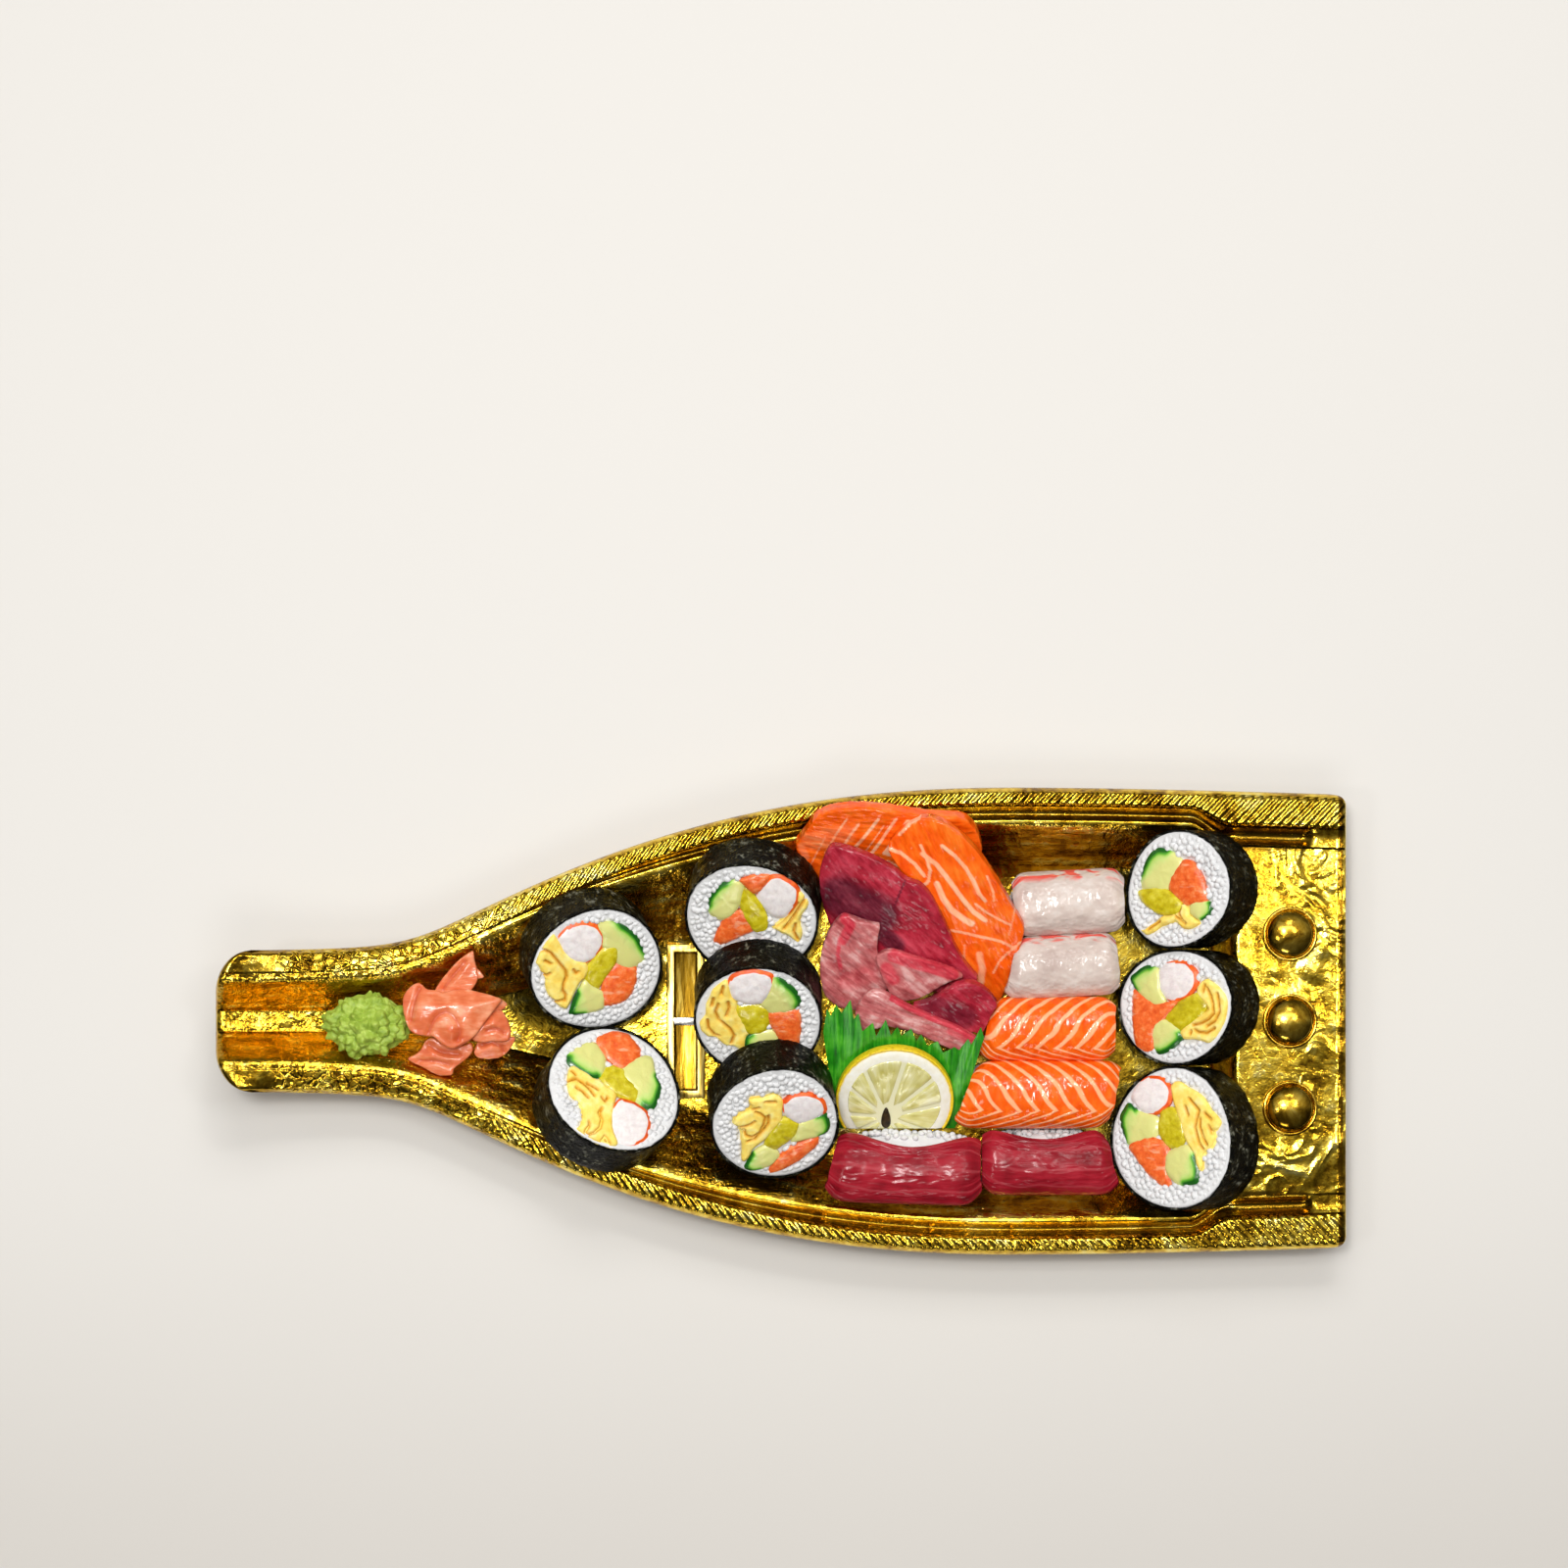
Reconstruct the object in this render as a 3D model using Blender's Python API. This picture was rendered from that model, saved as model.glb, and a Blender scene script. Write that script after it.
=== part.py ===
import math

import bpy
from mathutils import Matrix, Vector
from mathutils.bvhtree import BVHTree

for old in list(bpy.data.objects):
    bpy.data.objects.remove(old, do_unlink=True)

# All sizes are in metres. The bow points to -X, the stern to +X, and the hull floor rests on Z = 0.
CLEARANCE = 0.0003  # between pieces that touch
START_HEIGHT = 0.3  # pieces start here and are lowered onto their seats
SAMPLE_STEP = 0.0015  # spacing of the points compared along each edge

# Tray outline. Places along the tray are shares of its length, or are measured from the stern.
LENGTH = 0.420
BOW_HALF = 0.0257  # half breadth of the bow channel
BEAM_HALF = 0.0868  # half breadth at the widest section
STERN_HALF = 0.0841
BEAM_X = 0.2064 * LENGTH  # where the widest section lies
NECK_X = -0.3286 * LENGTH  # where the hull side meets the bow
SIDE_POWER = 2.25  # fullness of the hull side
NECK_BLEND = 0.011
NECK_START_X = -0.3571 * LENGTH  # sections lie closer together from here to the hull
STERN_TAPER = 1.6
BOW_CORNER = (0.013, 0.0157)  # along and across
STERN_CORNER = (0.0042, 0.0042)
CORNER_FADE = 1.6  # sections straighten out over this many corner lengths

# Tray section
SHEET = 0.001  # formed sheet thickness
RIM_HEIGHT = 0.024
BOW_RISE = 0.012  # extra rim height at the bow tip
BOW_RISE_X = -0.2857 * LENGTH
CHANNEL_DEPTH = 0.013
RAMP_X = (-0.3095 * LENGTH, -0.1714 * LENGTH)  # channel floor falls to the hull floor
LIP = 0.0024  # smooth outer edge
LIP_DROP = 0.003
FLANGE = (0.0062, 0.0040)  # textured flange breadth at the bow and at the side
FLANGE_CROWN = 0.0007
GROOVE = (0.0022, 0.0062)  # groove beside the flange at the bow and at the side
GROOVE_X = (-0.2810 * LENGTH, 0.0714 * LENGTH)
GROOVE_DEPTH = 0.0025
LEDGE_HEIGHT = 0.0205
LEDGE_BEAD = 0.0012
FLOOR_SHARE = (0.17, 0.67)  # floor breadth against the tray breadth at bow and hull
FLOOR_X = (-0.3810 * LENGTH, 0.1429 * LENGTH)

# Stern deck
DECK_HEIGHT = 0.0225
DECK_LENGTH = 0.0410
DECK_SLOPE = 0.0080  # run of the deck's front wall
DECK_X = LENGTH / 2 - DECK_LENGTH
DECK_FOOT_X = DECK_X - DECK_SLOPE
GROOVE_BEND = 0.0062  # the groove swings inward onto the deck by this much
GROOVE_BEND_START = 0.0175  # ahead of the deck
GROOVE_BEND_RUN = 0.0150
GROOVE_BEND_X = (DECK_X - GROOVE_BEND_START, DECK_X - GROOVE_BEND_START + GROOVE_BEND_RUN)
GROOVE_STOP = 0.0115  # ahead of the stern end
GROOVE_STOP_RUN = 0.0045
GROOVE_END_X = (LENGTH / 2 - GROOVE_STOP - GROOVE_STOP_RUN, LENGTH / 2 - GROOVE_STOP)
END_STEP = 0.0036
END_STEP_RUN = 0.0014
END_STEP_X = (LENGTH / 2 - END_STEP - END_STEP_RUN, LENGTH / 2 - END_STEP)
END_LIP = 0.0010
END_LIP_X = LENGTH / 2 - END_LIP
DOME_SET = 0.0198  # behind the deck's front edge
DOME_PITCH = 0.0325
DOME_RADIUS = 0.0095
DOME_HEIGHT = 0.0040
DOME_RING = 0.0016
DOME_SIDES = 16

# Raised slot frame on the hull floor
SLOT_X = -0.0886 * LENGTH
SLOT_SIZE = (0.0146, 0.0584)
SLOT_WALL = 0.0032
SLOT_HEIGHT = 0.0009
SLOT_BRIDGE = 0.0030

# Places of food are shares of the tray's length and of its widest half breadth.

# Rolls: a seaweed sheet round a ring of rice round a core of fillings
ROLL_HALF = 0.0240
ROLL_THICK = 0.0200
NORI = 0.0007
RICE_RING = 0.0066
RICE_BULGE = 0.0007
CORE_BULGE = 0.0010
ROLL_SIDES = 22
# name: place x, y, shares of the half size along and across the lean, lean direction, lean angle
ROLLS = {
    "roll_bow_port": (-0.1714, 0.2673, 1.008, 1.033, -58, 30),
    "roll_bow_starboard": (-0.1571, -0.3341, 1.000, 1.075, 50, 32),
    "roll_mid_port": (-0.0274, 0.4896, 0.979, 1.033, -98, 33),
    "roll_mid_centre": (-0.0226, 0.0576, 0.979, 0.979, -90, 33),
    "roll_mid_starboard": (-0.0095, -0.3780, 0.979, 0.992, -80, 33),
    "roll_stern_port": (0.3636, 0.5645, 0.958, 0.867, -177, 37),
    "roll_stern_centre": (0.3590, 0.0622, 0.992, 0.892, 180, 37),
    "roll_stern_starboard": (0.3548, -0.5046, 0.992, 1.117, 177, 37),
}

# Nigiri: a block of rice under a draped slice
NIGIRI_LENGTH = 0.0500
NIGIRI_BREADTH = 0.0236
NIGIRI_RICE_HEIGHT = 0.0190
NIGIRI_SLICE = 0.0055
NIGIRI_SLICE_EDGE = 0.0012
NIGIRI_DRAPE = 24  # degrees above the block's waist where the slice stops
NIGIRI_OVERHANG = 0.0020
NIGIRI_ROUND = 2.6
# name: place x, y, shares of the length and breadth, heading, lean toward +Y
NIGIRI = {
    "nigiri_bream_outer": (0.2481, 0.5069, 0.840, 0.941, 3, 0),
    "nigiri_bream_inner": (0.2481, 0.2396, 0.840, 0.949, 3, 0),
    "nigiri_salmon_inner": (0.2386, -0.0265, 0.960, 0.949, 0, 0),
    "nigiri_salmon_outer": (0.2202, -0.3111, 1.140, 1.076, 0, 0),
    "nigiri_tuna_fore": (0.1138, -0.6313, 1.050, 1.110, -2, 14),
    "nigiri_tuna_aft": (0.2329, -0.6106, 0.920, 1.008, 0, 12),
}

# Fish slices
SLICE_SIZE = (0.0600, 0.0300, 0.0055)  # length, breadth, thickness
SLICE_ARCH = 0.0020
SLICE_ROUND = 3.2
# name: place x, y, shares of the three sizes, heading, lean direction, lean angle, share of the arch
SLICES = {
    "salmon_slice_outer": (0.1060, 0.7488, 1.000, 1.150, 1.091, -4, -90, 37, 1.000),
    "salmon_slice_inner": (0.1393, 0.4839, 1.100, 1.033, 1.091, -66, -105, 25, 1.500),
    "tuna_slice_outer": (0.0929, 0.4839, 1.000, 0.900, 1.000, -44, -105, 24, 0.500),
    "yellowtail_slice_outer": (0.0786, 0.2189, 0.700, 0.933, 0.909, -40, -95, 24, 0.500),
    "tuna_slice_inner": (0.1298, 0.1382, 0.733, 0.833, 1.000, -38, -100, 23, 1.000),
    "yellowtail_slice_inner": (0.1238, 0.0115, 0.700, 0.567, 0.818, -20, -95, 24, 0.500),
}

# Garnish
WASABI_AT = (-0.3714, -0.0161)
WASABI_SIZE = (0.0330, 0.0250, 0.0110)
WASABI_ROOT = 0.0080  # depth of the part that sinks into the channel
GINGER_SIZE = (0.0300, 0.0180, 0.0025)
GINGER_ARCH = 0.0030
GINGER = {
    "ginger_petal_lower": (-0.2964, -0.1498, 0.800, 0.889, 0.880, -10, 90, 24, 0.667),
    "ginger_fold": (-0.2857, 0.0000, 1.267, 1.167, 1.200, -12, 0, 0, 1.667),
    "ginger_petal_upper": (-0.2810, 0.1382, 0.900, 0.833, 0.880, 62, -90, 16, 1.000),
}
LEAF_AT = (0.1060, -0.2247)
LEAF_FOOT = 0.0180  # half breadth at the foot
LEAF_TOP = (0.0265, 0.0185)  # breadth to each side at the toothed edge
LEAF_HEIGHT = 0.0450
LEAF_SHEET = 0.0006
LEAF_TEETH = 9
LEAF_TOOTH = 0.0085
LEAF_LEAN = 30
LEMON_AT = (0.1012, -0.2880)
LEMON_RADIUS = 0.0211
LEMON_RIND = 0.0022
LEMON_THICK = 0.0050
LEMON_CUT = 0.0140  # straight cut below the centre
LEMON_SIDES = 22

COLOURS = {
    "gold": ((0.83, 0.60, 0.11), 0.22, 1.0),
    "nori": ((0.012, 0.017, 0.012), 0.55, 0.0),
    "rice": ((0.86, 0.86, 0.85), 0.40, 0.0),
    "filling": ((0.90, 0.72, 0.25), 0.45, 0.0),
    "salmon": ((0.90, 0.28, 0.07), 0.30, 0.0),
    "tuna": ((0.36, 0.02, 0.04), 0.30, 0.0),
    "bream": ((0.87, 0.72, 0.68), 0.28, 0.0),
    "yellowtail": ((0.66, 0.32, 0.32), 0.30, 0.0),
    "wasabi": ((0.30, 0.55, 0.13), 0.60, 0.0),
    "ginger": ((0.90, 0.38, 0.22), 0.30, 0.0),
    "leaf": ((0.03, 0.33, 0.04), 0.35, 0.0),
    "lemon_flesh": ((0.80, 0.78, 0.30), 0.25, 0.0),
    "lemon_rind": ((0.90, 0.72, 0.08), 0.45, 0.0),
}


def mix(pair, share):
    return pair[0] + (pair[1] - pair[0]) * share


def ease(start, end, x):
    t = min(1.0, max(0.0, (x - start) / (end - start)))
    return t * t * (3 - 2 * t)


def spaced(start, end, count):
    return [start + (end - start) * i / count for i in range(count)]


def material(name):
    colour, roughness, metallic = COLOURS[name]
    made = bpy.data.materials.get(name) or bpy.data.materials.new(name)
    made.use_nodes = True
    shader = made.node_tree.nodes["Principled BSDF"]
    shader.inputs["Base Color"].default_value = (*colour, 1.0)
    shader.inputs["Roughness"].default_value = roughness
    shader.inputs["Metallic"].default_value = metallic
    return made


def solid(name, look, points, faces, smooth=True):
    mesh = bpy.data.meshes.new(name)
    mesh.from_pydata(points, [], faces)
    mesh.materials.append(material(look))
    mesh.update()
    for face in mesh.polygons:
        face.use_smooth = smooth
    made = bpy.data.objects.new(name, mesh)
    bpy.context.scene.collection.objects.link(made)
    return made


def loft(rings, joined=False):
    # Skin a row of rings, closing the ends with flat caps or joining the last ring to the first.
    count = len(rings[0])
    points = [tuple(p) for ring in rings for p in ring]
    faces = []
    for i in range(len(rings) if joined else len(rings) - 1):
        near = i * count
        far = (i + 1) % len(rings) * count
        for j in range(count):
            k = (j + 1) % count
            faces.append((near + j, near + k, far + k, far + j))
    if not joined:
        last = (len(rings) - 1) * count
        faces.append(tuple(reversed(range(count))))
        faces.append(tuple(range(last, last + count)))
    return points, faces


def leaning(direction, angle, heading=0):
    turn = Matrix.Rotation(math.radians(direction), 3, "Z")
    lean = Matrix.Rotation(math.radians(angle), 3, "Y")
    return turn @ lean @ turn.inverted() @ Matrix.Rotation(math.radians(heading), 3, "Z")


def placed(name, look, shape, turn, at, smooth=True):
    points, faces = shape
    made = solid(name, look, [turn @ Vector(p) for p in points], faces, smooth)
    made.location = (at[0] * LENGTH, at[1] * BEAM_HALF, START_HEIGHT)
    return made


def power_ring(half_x, half_y, power, count):
    ring = []
    for i in range(count):
        a = 2 * math.pi * i / count
        c, s = math.cos(a), math.sin(a)
        x = math.copysign(abs(c) ** (2 / power), c) * half_x
        y = math.copysign(abs(s) ** (2 / power), s) * half_y
        ring.append((x, y))
    return ring


# Lowering pieces onto their seats


def world_shape(made):
    graph = bpy.context.evaluated_depsgraph_get()
    mesh = made.evaluated_get(graph).to_mesh()
    points = [v.co + made.location for v in mesh.vertices]
    faces = [tuple(f.vertices) for f in mesh.polygons]
    middles = []
    for edge in mesh.edges:
        a, b = (points[i] for i in edge.vertices)
        steps = 2 + int((b - a).length / SAMPLE_STEP)
        middles += [a.lerp(b, i / steps) for i in range(1, steps)]
    made.evaluated_get(graph).to_mesh_clear()
    return points, faces, middles


def merged(pieces):
    points, faces, middles = [], [], []
    for piece in pieces:
        base = len(points)
        p, f, m = world_shape(piece)
        points += p
        faces += [tuple(i + base for i in face) for face in f]
        middles += m
    return points, faces, middles


def lower(pieces, seats):
    # Move the pieces straight down until they are one clearance above what lies below.
    bpy.context.view_layer.update()
    points, faces, middles = merged(pieces)
    seat_points, seat_faces, seat_middles = merged(seats)
    piece_tree = BVHTree.FromPolygons(points, faces)
    seat_tree = BVHTree.FromPolygons(seat_points, seat_faces)
    gap = START_HEIGHT
    for tree, samples, way in (
        (seat_tree, points + middles, Vector((0, 0, -1))),
        (piece_tree, seat_points + seat_middles, Vector((0, 0, 1))),
    ):
        for sample in samples:
            distance = tree.ray_cast(sample, way)[3]
            if distance is not None:
                gap = min(gap, distance)
    for piece in pieces:
        piece.location.z -= gap - CLEARANCE


# Tray


def half_breadth(x):
    before = max(0.0, (BEAM_X - x) / (BEAM_X - NECK_X))
    after = max(0.0, (x - BEAM_X) / (LENGTH / 2 - BEAM_X))
    side = BEAM_HALF - (BEAM_HALF - BOW_HALF) * before**SIDE_POWER
    blended = (BOW_HALF + side + math.hypot(BOW_HALF - side, NECK_BLEND)) / 2
    return blended - (BEAM_HALF - STERN_HALF) * after**STERN_TAPER


def corner_push(x, y):
    # Distance that a corner of the outline draws a point in from the nearer end.
    push = 0.0
    for (long, wide), way in ((BOW_CORNER, 1), (STERN_CORNER, -1)):
        over = max(0.0, 1 - (half_breadth(x) - abs(y)) / wide)
        fade = max(0.0, 1 - (LENGTH / 2 + way * x) / (CORNER_FADE * long))
        push += way * long * (1 - math.sqrt(1 - over * over)) * fade
    return push


def section(x):
    # Half of the tray's cross section, from the centre line out to the lip.
    hull = ease(*GROOVE_X, x)
    deck = ease(DECK_FOOT_X, DECK_X, x)
    rise = max(0.0, (BOW_RISE_X - x) / (BOW_RISE_X + LENGTH / 2))
    rim = RIM_HEIGHT + BOW_RISE * rise * rise
    edge = half_breadth(x)
    bend = GROOVE_BEND * ease(*GROOVE_BEND_X, x)
    flange = edge - LIP - mix(FLANGE, hull) - bend
    ledge = flange - mix(GROOVE, hull) - bend * 0.3
    floor = edge * mix(FLOOR_SHARE, ease(*FLOOR_X, x))
    shelf = edge - LIP
    channel = rim - CHANNEL_DEPTH
    bottom = channel + (SHEET - channel) * ease(*RAMP_X, x)
    bottom += (DECK_HEIGHT - bottom) * deck
    bead = rim + (LEDGE_HEIGHT - rim) * hull
    bead += (DECK_HEIGHT - bead) * deck
    dip = bead - GROOVE_DEPTH * hull * (1 - ease(*GROOVE_END_X, x))
    half_bead = LEDGE_BEAD / 2
    gutter = flange - ledge - half_bead
    line = [
        (0.0, bottom),
        (floor / 2, bottom),
        (floor, bottom),
        ((floor + ledge) / 2, (bottom + bead) / 2),
        (ledge - half_bead, bead),
        (ledge + half_bead, bead),
        (ledge + half_bead + gutter * 0.30, dip),
        (ledge + half_bead + gutter * 0.62, dip),
        (flange, rim),
        ((flange + shelf) / 2, rim + FLANGE_CROWN),
        (shelf, rim),
        (edge, rim - LIP_DROP),
    ]
    step = ease(*END_STEP_X, x)
    fall = LIP_DROP * max(ease(END_LIP_X, LENGTH / 2, x), ease(-END_LIP_X, -LENGTH / 2, x))
    raised = [(y, z + max(0.0, rim - z) * step - fall) for y, z in line[:-1]]
    return [*raised, (edge, rim - LIP_DROP - fall / 3)]


def stations():
    tip = -LENGTH / 2
    hull_end = GROOVE_BEND_X[0]
    found = [tip + BOW_CORNER[0] * s for s in (0, 0.08, 0.3, 0.6)]
    found += spaced(tip + BOW_CORNER[0], NECK_START_X, 4)
    found += spaced(NECK_START_X, RAMP_X[1], 8)
    found += spaced(RAMP_X[1], hull_end, 11)
    found += spaced(hull_end, DECK_FOOT_X, 2)
    found += spaced(DECK_FOOT_X, DECK_X, 2)
    found += [DECK_X, mix((DECK_X, GROOVE_END_X[0]), 0.5), *GROOVE_END_X, *END_STEP_X]
    return [*found, mix((END_STEP_X[1], END_LIP_X), 0.5), END_LIP_X, LENGTH / 2]


def make_tray():
    points, faces = [], []
    for x in stations():
        half = section(x)
        across = [(-y, z) for y, z in reversed(half[1:])] + half
        points += [(x + corner_push(x, y), y, z) for y, z in across]
    wide = len(across)
    for i in range(len(points) // wide - 1):
        for j in range(wide - 1):
            a = i * wide + j
            faces.append((a, a + wide, a + wide + 1, a + 1))
    made = solid("tray", "gold", points, faces)
    sheet = made.modifiers.new("sheet", "SOLIDIFY")
    sheet.thickness = SHEET
    sheet.offset = -1
    return made


def helper(name, shapes):
    points, faces = [], []
    for p, f in shapes:
        base = len(points)
        points += p
        faces += [tuple(i + base for i in face) for face in f]
    made = solid(name, "gold", points, faces)
    made.hide_render = True
    made.display_type = "WIRE"
    return made


def dome(y, shrink, foot):
    # A round boss: a straight foot below the deck, a low ring and a domed top.
    radius = DOME_RADIUS - shrink
    rows = [(radius + DOME_RING, foot), (radius + DOME_RING, DOME_RING * 0.5 - shrink)]
    rows.append((radius, DOME_RING * 0.5 - shrink))
    for i in range(1, 4):
        a = math.pi / 2 * i / 4
        rows.append((radius * math.cos(a), DOME_HEIGHT * math.sin(a) - shrink))
    rings = []
    for r, z in rows:
        ring = power_ring(r, r, 2, DOME_SIDES)
        rings.append([(DECK_X + DOME_SET + px, y + py, DECK_HEIGHT + z) for px, py in ring])
    return loft(rings)


def slab(half_x, half_y, low, high, x=SLOT_X, y=0.0):
    plan = ((-half_x, -half_y), (half_x, -half_y), (half_x, half_y), (-half_x, half_y))
    return loft([[(x + px, y + py, z) for px, py in plan] for z in (low, high)])


def boolean(made, other, operation):
    cut = made.modifiers.new(other.name, "BOOLEAN")
    cut.operation = operation
    cut.solver = "EXACT"
    cut.object = other


def emboss(tray):
    rows = (-DOME_PITCH, 0.0, DOME_PITCH)
    boolean(tray, helper("dome_skin", [dome(y, 0, -SHEET / 2) for y in rows]), "UNION")
    boolean(tray, helper("dome_hollow", [dome(y, SHEET, -3 * SHEET) for y in rows]), "DIFFERENCE")
    half_x, half_y = SLOT_SIZE[0] / 2, SLOT_SIZE[1] / 2
    low, high = SHEET / 2, SHEET + SLOT_HEIGHT
    frame = helper("slot_frame", [slab(half_x, half_y, low, high)])
    inner = half_y - SLOT_WALL - SLOT_BRIDGE / 2
    pocket = [
        slab(half_x - SLOT_WALL, inner / 2, SHEET, high + SHEET, y=side * (half_y - SLOT_WALL - inner / 2))
        for side in (-1, 1)
    ]
    boolean(frame, helper("slot_pocket", pocket), "DIFFERENCE")
    boolean(tray, frame, "UNION")


# Food


def ellipse_rings(half_x, half_y, rows):
    rings = []
    for inset, z in rows:
        ring = power_ring(half_x - inset, half_y - inset, 2, ROLL_SIDES)
        rings.append([(x, y, z) for x, y in ring])
    return rings


def make_roll(name):
    x, y, along, across, direction, angle = ROLLS[name]
    along, across = along * ROLL_HALF, across * ROLL_HALF
    turn = leaning(direction, angle) @ Matrix.Rotation(math.radians(direction), 3, "Z")
    low, high = -ROLL_THICK / 2, ROLL_THICK / 2
    rice = NORI + CLEARANCE
    hole = rice + RICE_RING
    core = hole + CLEARANCE
    belt = [(0, low), (0, high), (NORI, high), (NORI, low)]
    ring = [(rice, low), (rice, high), ((rice + hole) / 2, high + RICE_BULGE), (hole, high), (hole, low)]
    heart = [(core, low), (core, high), (core + (along - core) * 0.4, high + CORE_BULGE)]
    pieces = []
    for part, look, rows, joined in (
        ("nori", "nori", belt, True),
        ("rice", "rice", ring, True),
        ("filling", "filling", heart, False),
    ):
        shape = loft(ellipse_rings(along, across, rows), joined)
        pieces.append(placed(f"{name}_{part}", look, shape, turn, (x, y)))
    return pieces


def block_arc(half, height, start, end, count):
    # Points over a block of rice, from one side to the other.
    arc = []
    for i in range(count):
        a = math.radians(start + (end - start) * i / (count - 1))
        c, s = math.cos(a), math.sin(a)
        y = math.copysign(abs(c) ** (2 / NIGIRI_ROUND), c) * half
        z = math.copysign(abs(s) ** (2 / NIGIRI_ROUND), s) * height
        arc.append((y, z))
    return arc


def make_nigiri(name):
    x, y, length, breadth, heading, lean = NIGIRI[name]
    length, breadth = length * NIGIRI_LENGTH, breadth * NIGIRI_BREADTH
    turn = leaning(90, lean, heading)
    half_length = length / 2 - NIGIRI_OVERHANG
    half = breadth / 2 - NIGIRI_SLICE_EDGE - CLEARANCE
    waist = NIGIRI_RICE_HEIGHT / 2
    rice, slice_rings = [], []
    for u in (-1.0, -0.92, -0.6, 0.0, 0.6, 0.92, 1.0):
        size = (1 - abs(u * 0.985) ** 4) ** 0.25
        ring = power_ring(half * size, waist * size, NIGIRI_ROUND, 14)
        rice.append([(u * half_length, py, pz) for py, pz in ring])
        start = NIGIRI_DRAPE + 30 * abs(u) ** 6
        tip = 1 - abs(u) ** 8 * 0.5
        inner = block_arc(half + CLEARANCE, waist + CLEARANCE, start, 180 - start, 8)
        thick = (NIGIRI_SLICE_EDGE, NIGIRI_SLICE * tip)
        outer = block_arc(half + CLEARANCE + thick[0], waist + CLEARANCE + thick[1], start, 180 - start, 8)
        slice_rings.append([(u * length / 2, *p) for p in outer + inner[::-1]])
    fish = name.split("_")[1]
    return [
        placed(f"{name}_rice", "rice", loft(rice), turn, (x, y)),
        placed(f"{name}_slice", fish, loft(slice_rings), turn, (x, y)),
    ]


def make_slice(name, look, shares, size, full_arch):
    x, y, *sizes, heading, direction, angle, arch = shares
    length, breadth, thick = (share * full for share, full in zip(sizes, size))
    arch *= full_arch
    rings = []
    for u in (-1.0, -0.94, -0.7, 0.0, 0.7, 0.94, 1.0):
        size = (1 - abs(u * 0.98) ** SLICE_ROUND) ** (1 / SLICE_ROUND)
        ring = power_ring(breadth / 2 * size, thick / 2 * max(size, 0.6), SLICE_ROUND, 12)
        rings.append([(u * length / 2, py, pz + arch * (1 - u * u)) for py, pz in ring])
    return placed(name, look, loft(rings), leaning(direction, angle, heading), (x, y))


def make_wasabi():
    rows = [(0.36, -WASABI_ROOT), (0.70, -WASABI_ROOT / 2)]
    rows += [(math.sqrt(1 - share * share), share * WASABI_SIZE[2]) for share in (0.0, 0.3, 0.6, 0.82, 0.96)]
    rings = []
    for size, z in rows:
        ring = power_ring(WASABI_SIZE[0] / 2 * size, WASABI_SIZE[1] / 2 * size, 2.3, 18)
        rings.append([(px, py, z) for px, py in ring])
    return placed("wasabi", "wasabi", loft(rings), leaning(0, 0), WASABI_AT)


def make_leaf():
    # A thin green divider with a saw-toothed top edge.
    top, valley = LEAF_HEIGHT / 2, LEAF_HEIGHT / 2 - LEAF_TOOTH
    outline = [(-LEAF_FOOT, -top), (LEAF_FOOT, -top)]
    for i in range(2 * LEAF_TEETH + 1):
        across = mix((LEAF_TOP[1], -LEAF_TOP[0]), i / (2 * LEAF_TEETH))
        outline.append((across, top if i % 2 else valley))
    rings = [[(px, py, z) for px, py in outline] for z in (0.0, LEAF_SHEET)]
    return placed("leaf_divider", "leaf", loft(rings), leaning(-90, LEAF_LEAN), LEAF_AT, False)


def lemon_outline(radius):
    drop = math.asin(LEMON_CUT / LEMON_RADIUS)
    sweep = math.pi + 2 * drop
    return [
        (radius * math.cos(-drop + sweep * i / LEMON_SIDES), radius * math.sin(-drop + sweep * i / LEMON_SIDES))
        for i in range(LEMON_SIDES + 1)
    ]


def make_lemon():
    turn = leaning(-90, LEAF_LEAN)
    outer = lemon_outline(LEMON_RADIUS)
    inner = lemon_outline(LEMON_RADIUS - LEMON_RIND)
    flesh = lemon_outline(LEMON_RADIUS - LEMON_RIND - CLEARANCE)
    rind = [[(px, py, z) for px, py in outer + inner[::-1]] for z in (0.0, LEMON_THICK)]
    disc = [[(px, py, z) for px, py in flesh] for z in (0.0, LEMON_THICK)]
    return [
        placed("lemon_rind", "lemon_rind", loft(rind), turn, LEMON_AT, False),
        placed("lemon_flesh", "lemon_flesh", loft(disc), turn, LEMON_AT, False),
    ]


# Assembly, from the tray upward

tray = make_tray()
emboss(tray)
settled = [tray]


def settle(pieces):
    lower(pieces, settled)
    settled.extend(pieces)


for roll in ROLLS:
    settle(make_roll(roll))
for nigiri in NIGIRI:
    settle(make_nigiri(nigiri))
for fish in SLICES:
    settle([make_slice(fish, fish.split("_")[0], SLICES[fish], SLICE_SIZE, SLICE_ARCH)])
settle([make_leaf()])
settle(make_lemon())
settle([make_wasabi()])
for petal in GINGER:
    settle([make_slice(petal, "ginger", GINGER[petal], GINGER_SIZE, GINGER_ARCH)])
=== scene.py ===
import bpy
import math
import random
import numpy as np
from mathutils import Matrix, Vector, noise


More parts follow.
